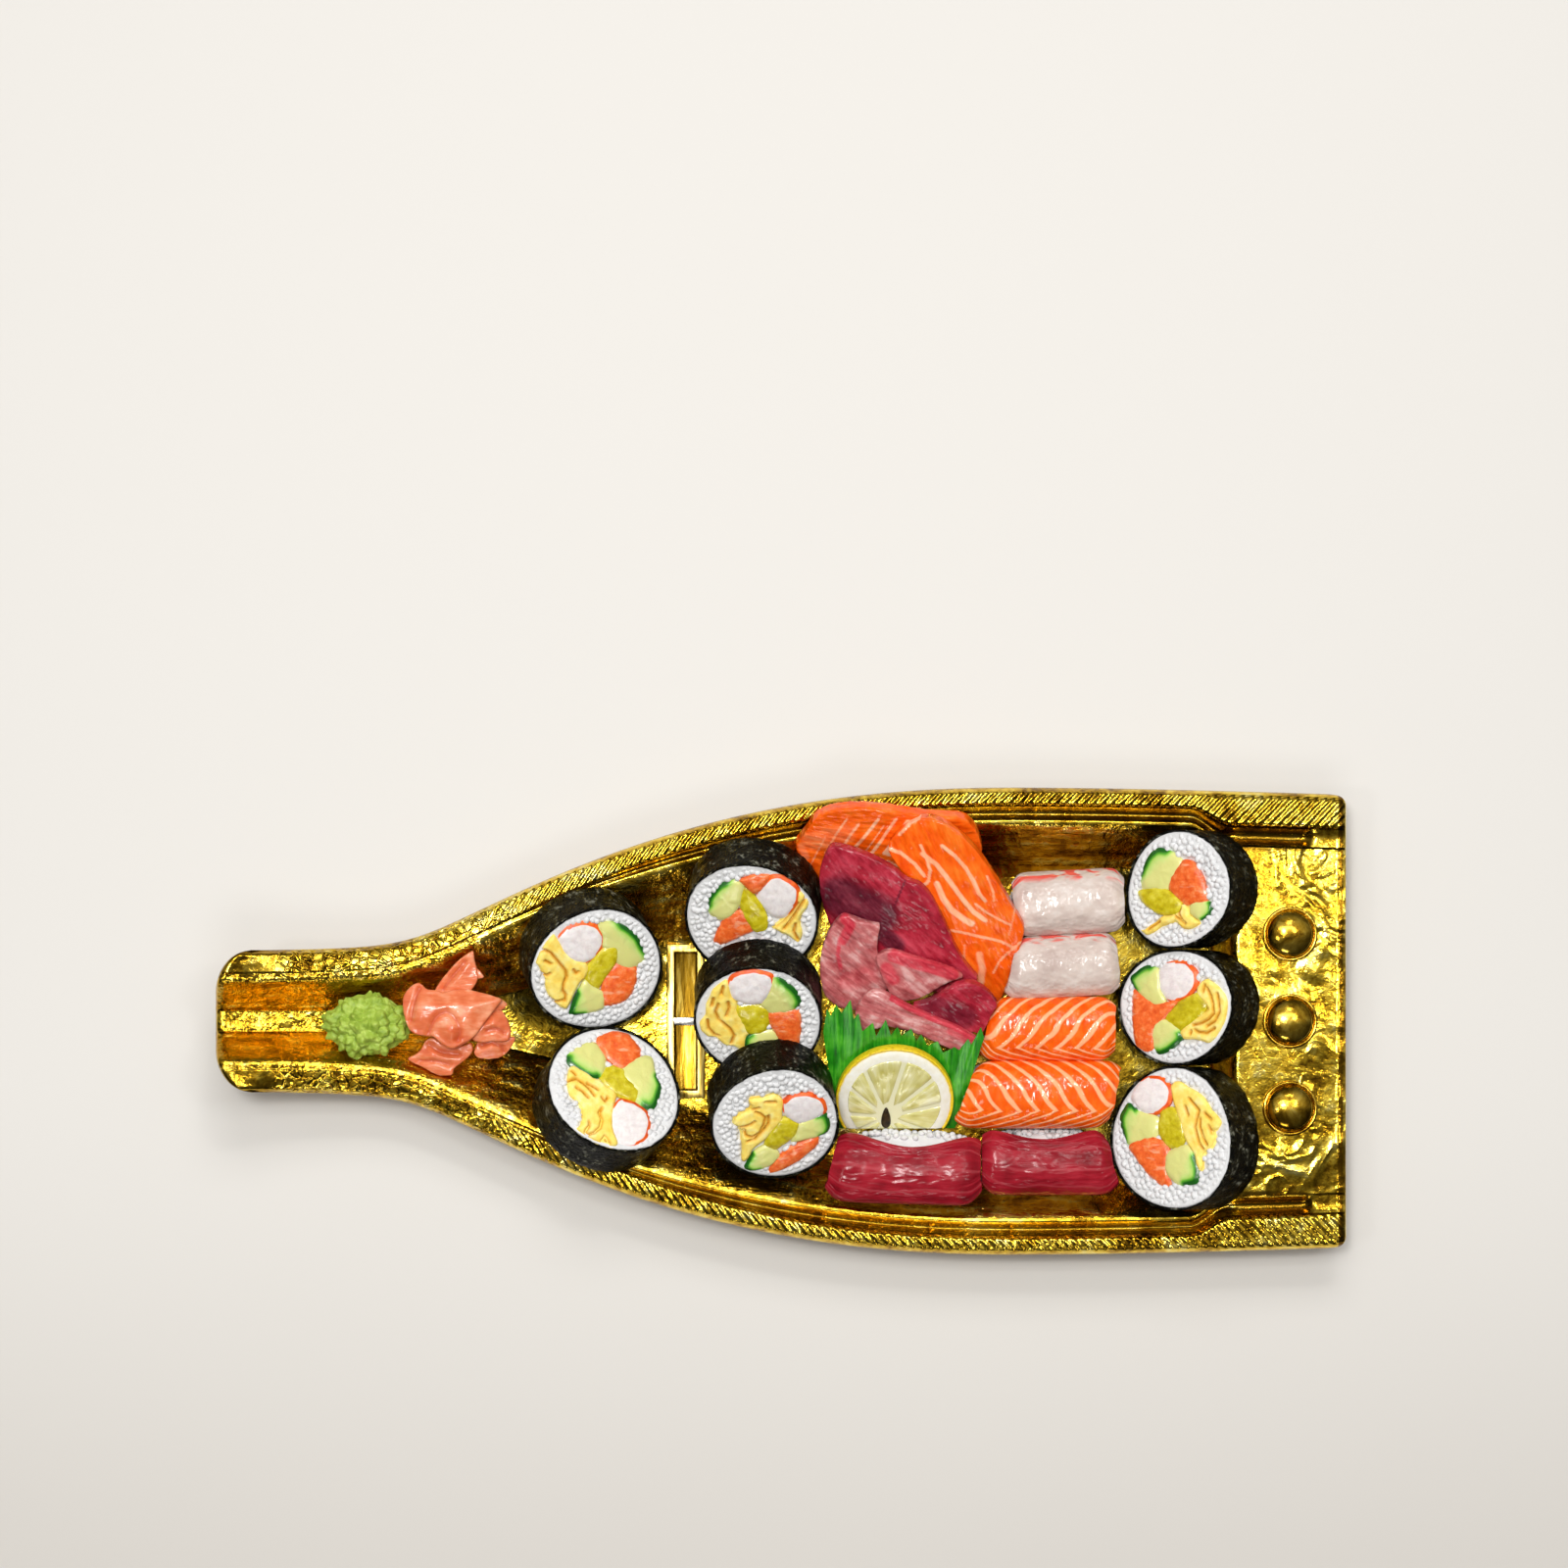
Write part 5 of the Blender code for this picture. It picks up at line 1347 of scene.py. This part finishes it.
# outlines in dots of the frame; streaks: half breadth in millimetres, strength, line in dots
sashimi = {
    "salmon_slice_outer": {"lean": (-4, -90, 37), "look": "salmon", "slot": "salmon", "thick": 0.0060,
        "bow": 0.0016, "outline": [
        (811, 862), (822, 848), (832, 832), (850, 824), (875, 820), (910, 822), (945, 828), (975, 829),
            (988, 834), (997, 845), (1001, 857), (1003, 866), (990, 880), (950, 900), (900, 900),
            (850, 900), (826, 890), (815, 875)],
        # the first streak is partly the pale fat stripe and partly a painted highlight
        "streaks": [(0.9, 0.9, [(903, 864), (912, 852), (920, 842), (926, 832)]), (0.7, 0.8, [(888, 866),
            (900, 850), (908, 838), (914, 830)]), (0.7, 0.8,
            [(868, 864), (880, 850), (890, 838), (896, 830)]),
                    (0.6, 0.7, [(858, 862), (868, 846), (876, 836)]), (5.5, 0.30, [(828, 856), (845, 850),
                        (862, 846)]), (0.5, 0.65, [(842, 868), (850, 852), (858, 840), (864, 832)]),
                        (0.4, 0.5, [(826, 882), (834, 866), (842, 850)]), (0.4, 0.6, [(880, 867),
                        (892, 850), (902, 836)]), (0.8, 0.9,
                        [(902, 864), (916, 868), (930, 876), (942, 886)]),
                    (0.6, 0.7, [(905, 872), (920, 880), (934, 892)]), (1.6, 0.75, [(950, 832), (965, 842),
                        (980, 854), (992, 860)]), (0.5, 0.6, [(930, 838), (945, 845), (955, 855)]),
                        (2.0, 0.35, [(818, 862), (822, 872)])]},
    "salmon_slice_inner": {"lean": (-66, -105, 25), "look": "salmon", "slot": "salmon", "thick": 0.0060,
        "bow": 0.0022, "outline": [
        (904, 862), (922, 842), (945, 832), (965, 838), (985, 852), (1003, 872), (1020, 898), (1035, 925),
            (1047, 944), (1041, 966), (1034, 988), (1023, 1018), (1014, 1030), (996, 1004), (970, 960),
            (945, 915), (915, 880)],
        "streaks": [(0.7, 0.8, [(940, 860), (946, 872), (950, 884), (948, 896), (942, 900)]),
            (1.0, 0.85, [(942, 868), (956, 878), (966, 890), (975, 902), (984, 914), (994, 926),
            (1006, 935)]),
                    (0.8, 0.85, [(962, 860), (975, 870), (986, 882), (994, 895), (1000, 908),
                        (1006, 915)]), (1.3, 0.85, [(957, 898), (963, 912), (972, 924), (984, 933),
                        (992, 938)]),
                    (0.7, 0.6, [(972, 945), (988, 948), (1004, 952), (1022, 957), (1036, 964)]),
                        (0.6, 0.6, [(996, 918), (1006, 926), (1020, 934), (1032, 940)]),
                        (0.6, 0.6, [(1008, 890), (1014, 905), (1015, 915)]),
                    (1.6, 0.6, [(1000, 970), (1003, 985), (1001, 1000)]), (0.6, 0.7, [(1042, 958),
                        (1030, 968), (1020, 978), (1014, 990)]),
                        (0.5, 0.5, [(1030, 950), (1034, 935), (1036, 925)]),
                    (0.6, 0.5, [(985, 960), (984, 985), (992, 1000)]), (0.8, 0.8, [(908, 864), (920, 868),
                        (934, 878), (944, 890)]), (0.7, 0.7, [(918, 850), (930, 838), (938, 834)])]},
    "tuna_slice_outer": {"lean": (-44, -105, 24), "look": "tuna", "slot": "tuna", "thick": 0.0055,
        "bow": 0.0010, "outline": [
        (840, 874), (847, 861), (860, 862), (880, 868), (898, 876), (915, 886), (925, 896), (940, 900),
            (950, 912), (960, 930), (968, 948), (975, 965), (986, 984), (1000, 1000), (985, 1010),
            (955, 1012), (915, 1000), (880, 980), (850, 950), (838, 915), (836, 890)],
        # the first streak darkens the lower lobe's own flesh; the second is painted shadow at the slice's
        # lower edge
        "streaks": [(10.0, 0.75, [(858, 912), (875, 920), (895, 930)]), (4.0, 0.8, [(900, 948),
            (915, 962)]), (0.5, 0.7, [(924, 896), (918, 910), (912, 925), (908, 942)])]},
    "yellowtail_slice_outer": {"lift": 0.0010, "lean": (-40, -95, 24),
        "look": "yellowtail", "slot": "yellowtail", "thick": 0.0042, "bow": 0.0010, "outline": [
        (862, 932), (875, 937), (890, 941), (899, 942), (896, 955), (895, 968), (899, 980), (908, 996),
            (906, 1008), (890, 1022), (872, 1030), (852, 1024), (840, 1012), (836, 990), (838, 968),
            (845, 950), (854, 937)],
        "streaks": [(2.2, 0.8, [(862, 936), (868, 942), (860, 958)]), (1.0, 0.7, [(857, 958), (855, 972),
            (858, 986)]), (5.0, 0.40, [(866, 1000), (890, 990)]),
            (1.5, 0.35, [(842, 1004), (860, 1018)])]},
    "yellowtail_petal": {"node": "yellowtail_slice_outer", "lift": 0.0030, "lean": (-40, -95, 24),
        "look": "yellowtail", "slot": "yellowtail", "thick": 0.0036, "bow": 0.0016, "outline": [
        (892, 975), (900, 969), (908, 967), (916, 968), (926, 972), (945, 978), (962, 984), (976, 990),
            (985, 998), (970, 1002), (955, 1010), (940, 1018), (925, 1021), (912, 1019), (907, 1010),
            (900, 996)],
        "streaks": [(2.6, 1.0, [(912, 973), (930, 979), (950, 985), (972, 994)]),
            (3.0, 0.7, [(905, 985), (912, 996)])]},
    "tuna_slice_inner": {"lean": (-38, -100, 23), "look": "tuna", "slot": "tuna", "thick": 0.0050,
        "bow": 0.0014, "outline": [
        (928, 1024), (948, 1019), (962, 1010), (975, 1002), (988, 999), (1000, 1003), (1010, 1012),
            (1019, 1025), (1013, 1032), (1007, 1046), (1002, 1055), (985, 1050), (965, 1041),
            (945, 1032)],
        "streaks": [(6.0, 0.55, [(950, 1022), (985, 1036)])]},
    "yellowtail_slice_inner": {"lift": -0.0012, "lean": (-20, -95, 24),
        "look": "yellowtail", "slot": "yellowtail", "thick": 0.0042, "bow": 0.0008, "outline": [
        (880, 1018), (890, 1009), (902, 1011), (915, 1018), (930, 1026), (950, 1035), (975, 1045),
            (990, 1054), (1003, 1063), (986, 1075), (965, 1067), (945, 1057), (925, 1049), (905, 1045),
            (890, 1049), (880, 1056), (874, 1046), (872, 1030)],
        "streaks": [(1.0, 1.0, [(910, 1017), (930, 1028), (950, 1037), (975, 1047), (998, 1062)]),
            (2.0, 0.5, [(970, 1050), (990, 1062)])]},
}


def buildSlice(name, facts, seed):
    heading, direction, angle = facts["lean"]
    node = facts.get("node", name)
    seat, half = nodeFrame(node, leaning(direction, angle, heading))
    seat = seat @ Matrix.Translation((0, 0, facts.get("lift", 0)))
    ring = [tuple(onPlane(dotX, dotY, seat)) for dotX, dotY in rounded(facts["outline"], 1)]
    slab = drawnSlab(ring, facts["thick"], 0.0006, 7)
    spots = points(slab)
    streak = np.zeros(len(spots))
    for breadth, strength, line in facts["streaks"]:
        near = pressed(spots, [line], seat) / (breadth / 1000)
        streak = np.maximum(streak, strength * (1 - ease(0.45, 1.35, near)))
    mark(slab, "streak", streak)
    mark(slab, "lay", spots + np.array((seed * 0.013, 0, seed * 0.1)))
    swell = np.array([noise.noise(Vector((x * 55, y * 75, seed))) * 0.0010
        + noise.noise(Vector((x * 170, y * 190, seed + 5))) * 0.00028 for x, y, z in spots])
    bend = facts["bow"] * (1 - (spots[:, 0] / half[0]) ** 2) - 0.5 * facts["bow"]
    spots[:, 2] += swell * (0.35 + 0.65 * (spots[:, 2] > 0)) + bend
    reshape(slab, laidOn(spots, seat))
    finished(slab, name + "_cut", node, [node], sashimiFinishes[facts["look"]], seat)


for seed, (name, facts) in enumerate(sashimi.items()):
    buildSlice(name, facts, seed + 41)
print("sashimi laid:", len(sashimi))


# leaf divider: a thin toothed sheet
leaf = {"lean": (-90, 30), "sheet": 0.0005, "columns": 240, "rows": 14, "left": 840, "right": 1004,
    "foot": (855, 972, 1160),
        "teeth": [(840, 1052), (844, 1028), (848, 1036), (853, 1024), (859, 1034), (868, 1020),
            (871, 1040), (876, 1033), (880, 1052),
                  (891, 1044), (894, 1058), (904, 1040), (909, 1056), (916, 1048), (920, 1058),
                      (930, 1050), (935, 1062), (940, 1055),
                  (947, 1068), (957, 1063), (962, 1074), (974, 1068), (979, 1072), (988, 1060),
                      (991, 1066), (1001, 1047), (1004, 1058)]}

leafFinish = Finish("green_divider", Roughness=0.30, Coat_Weight=0.3, Coat_Roughness=0.2,
    Subsurface_Weight=0.10, Subsurface_Radius=(0.3, 1.0, 0.2), Subsurface_Scale=0.002)
leafX, leafY = leafFinish.split(leafFinish.lay())[:2]
leafVein = leafFinish.cloud(leafFinish.join3(leafX * 900.0, leafY * 60.0, 0.0), 1.0, 3.0, 0.6)
leafBroad = leafFinish.cloud(leafFinish.lay(), 120.0, 3.0)
leafFinish.feed("Base Color", leafFinish.ramp(leafVein * 0.55 + leafBroad * 0.45,
    [(0.34, (0.004, 0.10, 0.003)), (0.48, (0.018, 0.28, 0.008)), (0.66, (0.11, 0.56, 0.030))]))
leafFinish.relief(leafVein, 0.7, 0.0005)


def buildLeaf():
    seat, half = nodeFrame("leaf_divider", leaning(*leaf["lean"]))
    piece = start("primitive_grid_add", x_subdivisions=leaf["columns"], y_subdivisions=leaf["rows"],
        size=2)
    spots = []
    dotXs, dotYs = zip(*leaf["teeth"])
    for x, y, z in points(piece):
        across, up = (x + 1) / 2, (y + 1) / 2
        dotX = leaf["left"] + across * (leaf["right"] - leaf["left"])
        tip = float(np.interp(dotX, dotXs, dotYs))
        footLeft, footRight, footDot = leaf["foot"]
        low = onPlane(footLeft + across * (footRight - footLeft), footDot, seat)
        high = onPlane(dotX, tip, seat)
        spot = low.lerp(high, up)
        ripple = 0.0004 * math.sin(across * 34) * up + 0.0002 * math.sin(across * 7 + 1)
        spots.append((spot.x, max(spot.y, -half[1] - 0.0010), ripple))
    reshape(piece, spots)
    modify(piece, "SOLIDIFY", thickness=leaf["sheet"], offset=0)
    finished(piece, "leaf_sheet", "leaf_divider", ["leaf_divider"], leafFinish, seat, angle=40)


buildLeaf()
print("leaf cut")


# lemon: zest, pith and segments
lemon = {"lean": (-90, 30), "zest": 0.0008, "rind": 0.0041, "segments": 11, "heart": (-0.0030, -0.0060),
    "gap": 0.00022, "stretch": (1.05, 1.09), "drop": 0.0030,
         "move": (-0.0012, 0.0008), "below": 0.0006, "pip": (0.0016, 0.0042, 0.0004)}

zestFinish = Finish("lemon_zest", Roughness=0.36, Coat_Weight=0.2)
zestDots = zestFinish.cells(zestFinish.lay(), 900.0, "SMOOTH_F1")
zestFinish.feed("Base Color", zestFinish.ramp(zestDots, [(0.0, (0.62, 0.40, 0.006)),
    (0.4, (0.86, 0.62, 0.012)), (1.0, (0.93, 0.72, 0.03))]))
zestFinish.relief(zestDots, 0.5, 0.0004)

pithFinish = Finish("lemon_pith", Roughness=0.5, Subsurface_Weight=0.15,
    Subsurface_Radius=(1.0, 0.9, 0.6), Subsurface_Scale=0.002)
pithRim = pithFinish.lay("rim", "Fac")
pithCloud = pithFinish.cloud(pithFinish.lay(), 420.0, 3.0)
pithTint = pithFinish.ramp(pithCloud, [(0.30, (0.86, 0.83, 0.68)), (0.70, (0.94, 0.93, 0.85))])
pithInner = pithFinish.blend(pithFinish.step(pithRim, 0.77, 0.81), (0.82, 0.80, 0.52), pithTint)
pithFinish.feed("Base Color", pithFinish.blend(pithFinish.step(pithRim + 0.05 * (pithCloud - 0.5),
    0.955, 0.99), pithInner, (0.90, 0.66, 0.03)))
pithFinish.relief(pithCloud, 0.3, 0.0003)

fleshFinish = Finish("lemon_flesh_cells", Roughness=0.16, Coat_Weight=0.6, Coat_Roughness=0.08,
    Subsurface_Weight=0.30, Subsurface_Radius=(1.0, 0.95, 0.4), Subsurface_Scale=0.003)
fleshX, fleshY, fleshZ = fleshFinish.split(fleshFinish.lay())
fleshAway = (fleshX * fleshX + fleshY * fleshY) ** 0.5
fleshTurn = fleshY.sum("ARCTAN2", fleshX)
fleshSacs = fleshFinish.cells(fleshFinish.join3(fleshTurn * 5.5, fleshAway * 230.0, fleshZ * 50.0),
    1.0, "SMOOTH_F1")
fleshRay = fleshFinish.cloud(fleshFinish.join3(fleshTurn * 16.0, fleshAway * 130.0, 0.0), 1.0, 3.0, 0.6)
fleshFinish.feed("Base Color", fleshFinish.ramp(fleshSacs * 0.5 + fleshRay * 0.5,
    [(0.25, (0.56, 0.51, 0.13)), (0.48, (0.73, 0.69, 0.29)), (0.70, (0.88, 0.86, 0.56))]))
fleshFinish.relief(fleshSacs, 0.6, 0.0006)


# painted shade: a dark flat lens at the lemon's heart stands for the shadowed opening there
pipFinish = Finish("lemon_pip_gap", Roughness=0.4)
pipCloud = pipFinish.cloud(pipFinish.lay(), 700.0)
pipFinish.feed("Base Color", pipFinish.ramp(pipCloud, [(0.35, (0.006, 0.004, 0.001)),
    (0.65, (0.05, 0.030, 0.008))]))


def trimmed(piece, low):  # cuts the lemon flat at its foot
    edited(piece, ("bisect", {"plane_co": (0, low, 0), "plane_no": (0, 1, 0),
        "clear_inner": True, "use_fill": True}))


def buildLemon():
    seat, half = nodeFrame("lemon_rind", leaning(*lemon["lean"]))
    radius, deep, low = half[0], half[2], -half[1]
    stretch = Matrix.Diagonal((*lemon["stretch"], 1, 1))
    up = half[1] - radius - lemon["drop"]  # middle of the disc above the middle of the trimmed solid
    seat = seat @ Matrix.Translation((lemon["move"][0], up, lemon["move"][1])) @ stretch
    low = (low - lemon["below"] - up) / lemon["stretch"][1]

    zest = start("primitive_cylinder_add", vertices=96, radius=radius, depth=2 * deep - 0.0012,
        end_fill_type="NOTHING")
    modify(zest, "SOLIDIFY", thickness=lemon["zest"], offset=-1)
    modify(zest, "BEVEL", width=0.0004, segments=3, limit_method="ANGLE")
    trimmed(zest, low)
    finished(zest, "lemon_zest", "lemon", ["lemon_rind"], zestFinish, seat, angle=45)

    pith = copyOf(plug)
    spots, rims = [], []
    for x, y, z in points(pith):
        r = math.hypot(x, y)
        size = radius - lemon["zest"] * 0.6
        spots.append((x * size, y * size, math.copysign(deep - 0.0003 - 0.0009
            * float(ease(0.93, 1.0, r)), z)))
        rims.append(r)
    reshape(pith, spots)
    mark(pith, "rim", np.array(rims))
    trimmed(pith, low + 0.0002)
    finished(pith, "lemon_pith", "lemon", ["lemon_rind", "lemon_flesh"],
        pithFinish, seat, angle=50)

    heart = Vector(lemon["heart"])
    chance = random.Random(77)
    made = []
    turns = [i / lemon["segments"] * fullTurn + chance.uniform(-0.10, 0.10) + 0.2
        for i in range(lemon["segments"])]
    for begin, end in zip(turns, turns[1:] + [turns[0] + fullTurn]):
        spread = [begin + (end - begin) * i / 8 for i in range(9)]
        ring = []
        for way in spread:
            toward = Vector((math.cos(way), math.sin(way)))
            b = heart.dot(toward)
            reach = -b + math.sqrt(max(0.0, b * b + (radius - lemon["rind"]) ** 2 - heart.length_squared))
            ring.append(heart + toward * reach)
        middle = heart + Vector((math.cos((begin + end) / 2), math.sin((begin + end) / 2))) * 0.0005
        ring.append(middle)
        centre = sum(ring, Vector((0, 0))) / len(ring)
        drawn = rounded([((p - centre).x, (p - centre).y) for p in ring], 2, 0.14)
        piece = copyOf(plug)
        spots, lays = [], []
        for x, y, z in points(piece):
            r, way = math.hypot(x, y), math.atan2(y, x)
            reach = max(0.0003, polygonReach(way, drawn) - lemon["gap"])
            px, py = centre.x + r * reach * math.cos(way), centre.y + r * reach * math.sin(way)
            spots.append((px, py, math.copysign(deep + 0.0001 - 0.0007 * float(ease(0.80, 1.0, r)), z)))
            lays.append((px - heart.x, py - heart.y, z * deep))
        reshape(piece, spots)
        mark(piece, "lay", np.array(lays))
        made.append(piece)
    flesh = joined(made)
    trimmed(flesh, low + 0.0004)
    # painted shade in the lemon's open heart
    pip = start("primitive_uv_sphere_add", segments=20, ring_count=12, radius=1)
    wide, long, thick = lemon["pip"]
    reshape(pip, [(heart.x + x * wide * (1 - 0.4 * y), heart.y + y * long, deep + 0.0001 + z * thick)
                  for x, y, z in points(pip)])
    finished(pip, "lemon_pip_gap", "lemon", ["lemon_flesh"], pipFinish, seat)
    finished(flesh, "lemon_segments", "lemon", ["lemon_flesh"],
        fleshFinish, seat, angle=50)


buildLemon()
print("lemon cut")


# wasabi: one lumpy mound
wasabiFinish = Finish("wasabi_paste", Roughness=0.5, Subsurface_Weight=0.12,
    Subsurface_Radius=(0.6, 1.0, 0.3), Subsurface_Scale=0.002)
wasabiCloud = wasabiFinish.cloud(wasabiFinish.place(), 330.0, 4.0, 0.6)
wasabiFinish.feed("Base Color", wasabiFinish.ramp(wasabiCloud,
    [(0.28, (0.20, 0.31, 0.025)), (0.50, (0.34, 0.48, 0.055)), (0.72, (0.50, 0.64, 0.12))]))
wasabiFinish.relief(wasabiCloud + 0.5 * wasabiFinish.cells(wasabiFinish.place(), 520.0, "SMOOTH_F1"),
    0.7, 0.0008)


wasabi = {"waist": 0.0080, "wide": 1.02, "narrow": 0.20, "top": 0.0010, "lump": 0.0014, "crumb": 0.0036,
    "shrink": 0.955}


def buildWasabi():
    low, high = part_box("wasabi")
    middle, half = (low + high) / 2, (high - low) / 2
    piece = start("primitive_ico_sphere_add", subdivisions=7, radius=1)
    spots = []
    waist = low.z + wasabi["waist"]
    for x, y, z in points(piece):
        narrow = 1 - wasabi["narrow"] * float(ease(0.2, 1.0, -x))
        place = Vector((x * half.x * wasabi["wide"], y * half.y * narrow, 0))
        place.z = z * (high.z - waist - wasabi["top"]) if z > 0 else z * (waist - low.z)
        lump = noise.fractal(place * 170, 0.8, 2.1, 3)
        crumb = 1 - noise.voronoi(place * 250)[0][0]
        out = Vector((x, y, max(z, 0.0))).normalized() if z > -0.3 else Vector((x, y, 0)) * 0.5
        shift = (wasabi["lump"] * lump + wasabi["crumb"] * (crumb - 0.62)) * (1.0 if z > -0.2 else 0.25)
        spots.append(Vector((middle.x, middle.y, waist)) + place * wasabi["shrink"] + out * shift)
    reshape(piece, laidOn(spots, Matrix()))
    finished(piece, "wasabi_mound", "wasabi", ["wasabi"], wasabiFinish)


buildWasabi()
print("wasabi mounded")


# pickled ginger: thin folded petals
gingerFinish = Finish("pickled_ginger", Roughness=0.26, Coat_Weight=0.5, Coat_Roughness=0.10,
    Subsurface_Weight=0.35, Subsurface_Radius=(1.0, 0.45, 0.3), Subsurface_Scale=0.003)
gingerLay = gingerFinish.lay()
gingerCrease = gingerFinish.lay("crease", "Fac")
gingerFibre = gingerFinish.cloud(gingerFinish.turn(gingerLay, (110, 420, 200), (0, 0, 0.9)),
    1.0, 3.0, 0.6)
gingerBroad = gingerFinish.cloud(gingerLay, 130.0, 3.0)
gingerTint = gingerFinish.ramp(gingerFibre * 0.45 + gingerBroad * 0.55,
    [(0.34, (0.66, 0.115, 0.035)), (0.50, (0.79, 0.205, 0.080)), (0.64, (0.90, 0.38, 0.21))])
# painted shade: the ginger is coloured darker red along its pressed creases
gingerFinish.feed("Base Color", gingerFinish.blend(gingerFinish.step(gingerCrease, 0.40, 1.0, 0.0, 0.6),
    gingerTint, (0.58, 0.080, 0.028)))
gingerFinish.relief(gingerFibre + 0.6 * gingerBroad, 0.55, 0.0007)

# drawn in dots of the frame; height, tilt (way and degrees), thickness and swell in millimetres
ginger = {
    "ginger_petal_upper": [
        {"high": 25.5, "tilt": (-120, 10), "thick": 2.0, "swell": 0.8,
            "creases": [[(452, 1010), (462, 996), (474, 982)]], "outline": [
            (483, 969), (484, 980), (487, 990), (488, 1000), (481, 1011), (470, 1014), (455, 1015),
                (442, 1012), (449, 1001), (458, 990), (466, 981), (475, 974)]},
        {"high": 25.0, "tilt": (0, 0), "thick": 2.0, "swell": 0.4, "creases": [],
            "outline": [(484, 986), (490, 990), (495, 998), (486, 999), (480, 996)]}],
    "ginger_fold": [
        {"high": 28.5, "tilt": (100, 6), "thick": 4.5, "swell": 2.4, "creases": [
            [(449, 1036), (444, 1040), (440, 1048), (437, 1055)], [(449, 1036), (456, 1033), (463, 1037),
                (468, 1045), (470, 1054), (467, 1062)],
            [(428, 1009), (425, 1018), (421, 1030), (419, 1042)]], "outline": [
            (411, 1018), (414, 1012), (420, 1006), (427, 1002), (431, 1005), (436, 1010), (445, 1010),
                (452, 1013), (462, 1010), (475, 1009), (488, 1012), (500, 1015), (508, 1018),
            (513, 1020), (508, 1026), (500, 1036), (493, 1045), (487, 1054), (480, 1061), (472, 1065),
                (462, 1070), (455, 1068), (448, 1063), (442, 1057), (434, 1057), (425, 1056), (418, 1052),
                (414, 1043), (411, 1030)]},
        {"high": 25.5, "tilt": (0, 8), "thick": 1.6, "swell": 0.4, "creases": [],
            "outline": [(506, 1016), (513, 1020), (519, 1025), (513, 1031), (504, 1031), (498, 1026)]},
        {"high": 25.2, "tilt": (45, 8), "thick": 3.6, "swell": 2.2,
            "creases": [[(496, 1052), (506, 1050), (514, 1054)]], "outline": [
            (486, 1038), (496, 1029), (505, 1027), (513, 1031), (519, 1042), (522, 1054), (519, 1062),
                (510, 1063), (502, 1062), (494, 1064), (482, 1062), (478, 1050)]},
        {"high": 22.3, "tilt": (-60, 10), "thick": 3.2, "swell": 2.0,
            "creases": [[(492, 1066), (502, 1063), (512, 1068), (514, 1074)]], "outline": [
            (483, 1075), (486, 1066), (490, 1057), (502, 1053), (512, 1056), (520, 1058), (527, 1058),
                (523, 1067), (516, 1076), (508, 1080), (498, 1081), (488, 1080)]}],
    "ginger_petal_lower": [
        {"high": 22.5, "tilt": (-100, 8), "thick": 3.0, "swell": 1.2,
            "creases": [[(428, 1082), (445, 1082), (458, 1086)], [(438, 1066), (452, 1074), (468, 1076)]],
            "outline": [
            (414, 1080), (424, 1076), (430, 1070), (434, 1061), (442, 1058), (450, 1064), (463, 1070),
                (474, 1066), (481, 1063), (483, 1071), (479, 1078), (470, 1085), (463, 1090), (462, 1097),
                (450, 1098), (442, 1095), (432, 1089), (422, 1085)]}],
}


def buildPetal(facts, seed):
    dots = facts["outline"]
    x, y = underView(sum(d[0] for d in dots) / len(dots), sum(d[1] for d in dots) / len(dots),
        facts["high"] / 1000)
    seat = Matrix.Translation((x, y, facts["high"] / 1000)) @ leaning(*facts["tilt"]).to_4x4()
    ring = [tuple(onPlane(dotX, dotY, seat)) for dotX, dotY in rounded(dots, 1)]
    slab = drawnSlab(ring, facts["thick"] / 1000, 0.0005, 4)
    spots = points(slab)
    rim = away(spots[:, :2], ring)
    near = pressed(spots, facts["creases"], seat)
    mark(slab, "lay", spots + np.array((seed * 0.07, 0, 0)))
    mark(slab, "crease", np.exp(-(near / 0.0009) ** 2))
    wave = np.array([noise.noise(Vector((x * 150, y * 150, seed))) for x, y, z in spots])
    spots[:, 2] += facts["swell"] / 1000 * (ease(0, 0.0070, rim)
        - 0.5) + 0.0007 * wave - 0.0013 * np.exp(-(near / 0.0010) ** 2)
    reshape(slab, laidOn(spots, seat))
    return slab, seat


for node, petals in ginger.items():
    for number, facts in enumerate(petals):
        petal, seat = buildPetal(facts, number + len(node))
        finished(petal, f"{node}_sheet_{number}", node, [node], gingerFinish, seat)
print("ginger folded")


for spare in (plug, grain):
    bpy.data.objects.remove(spare)
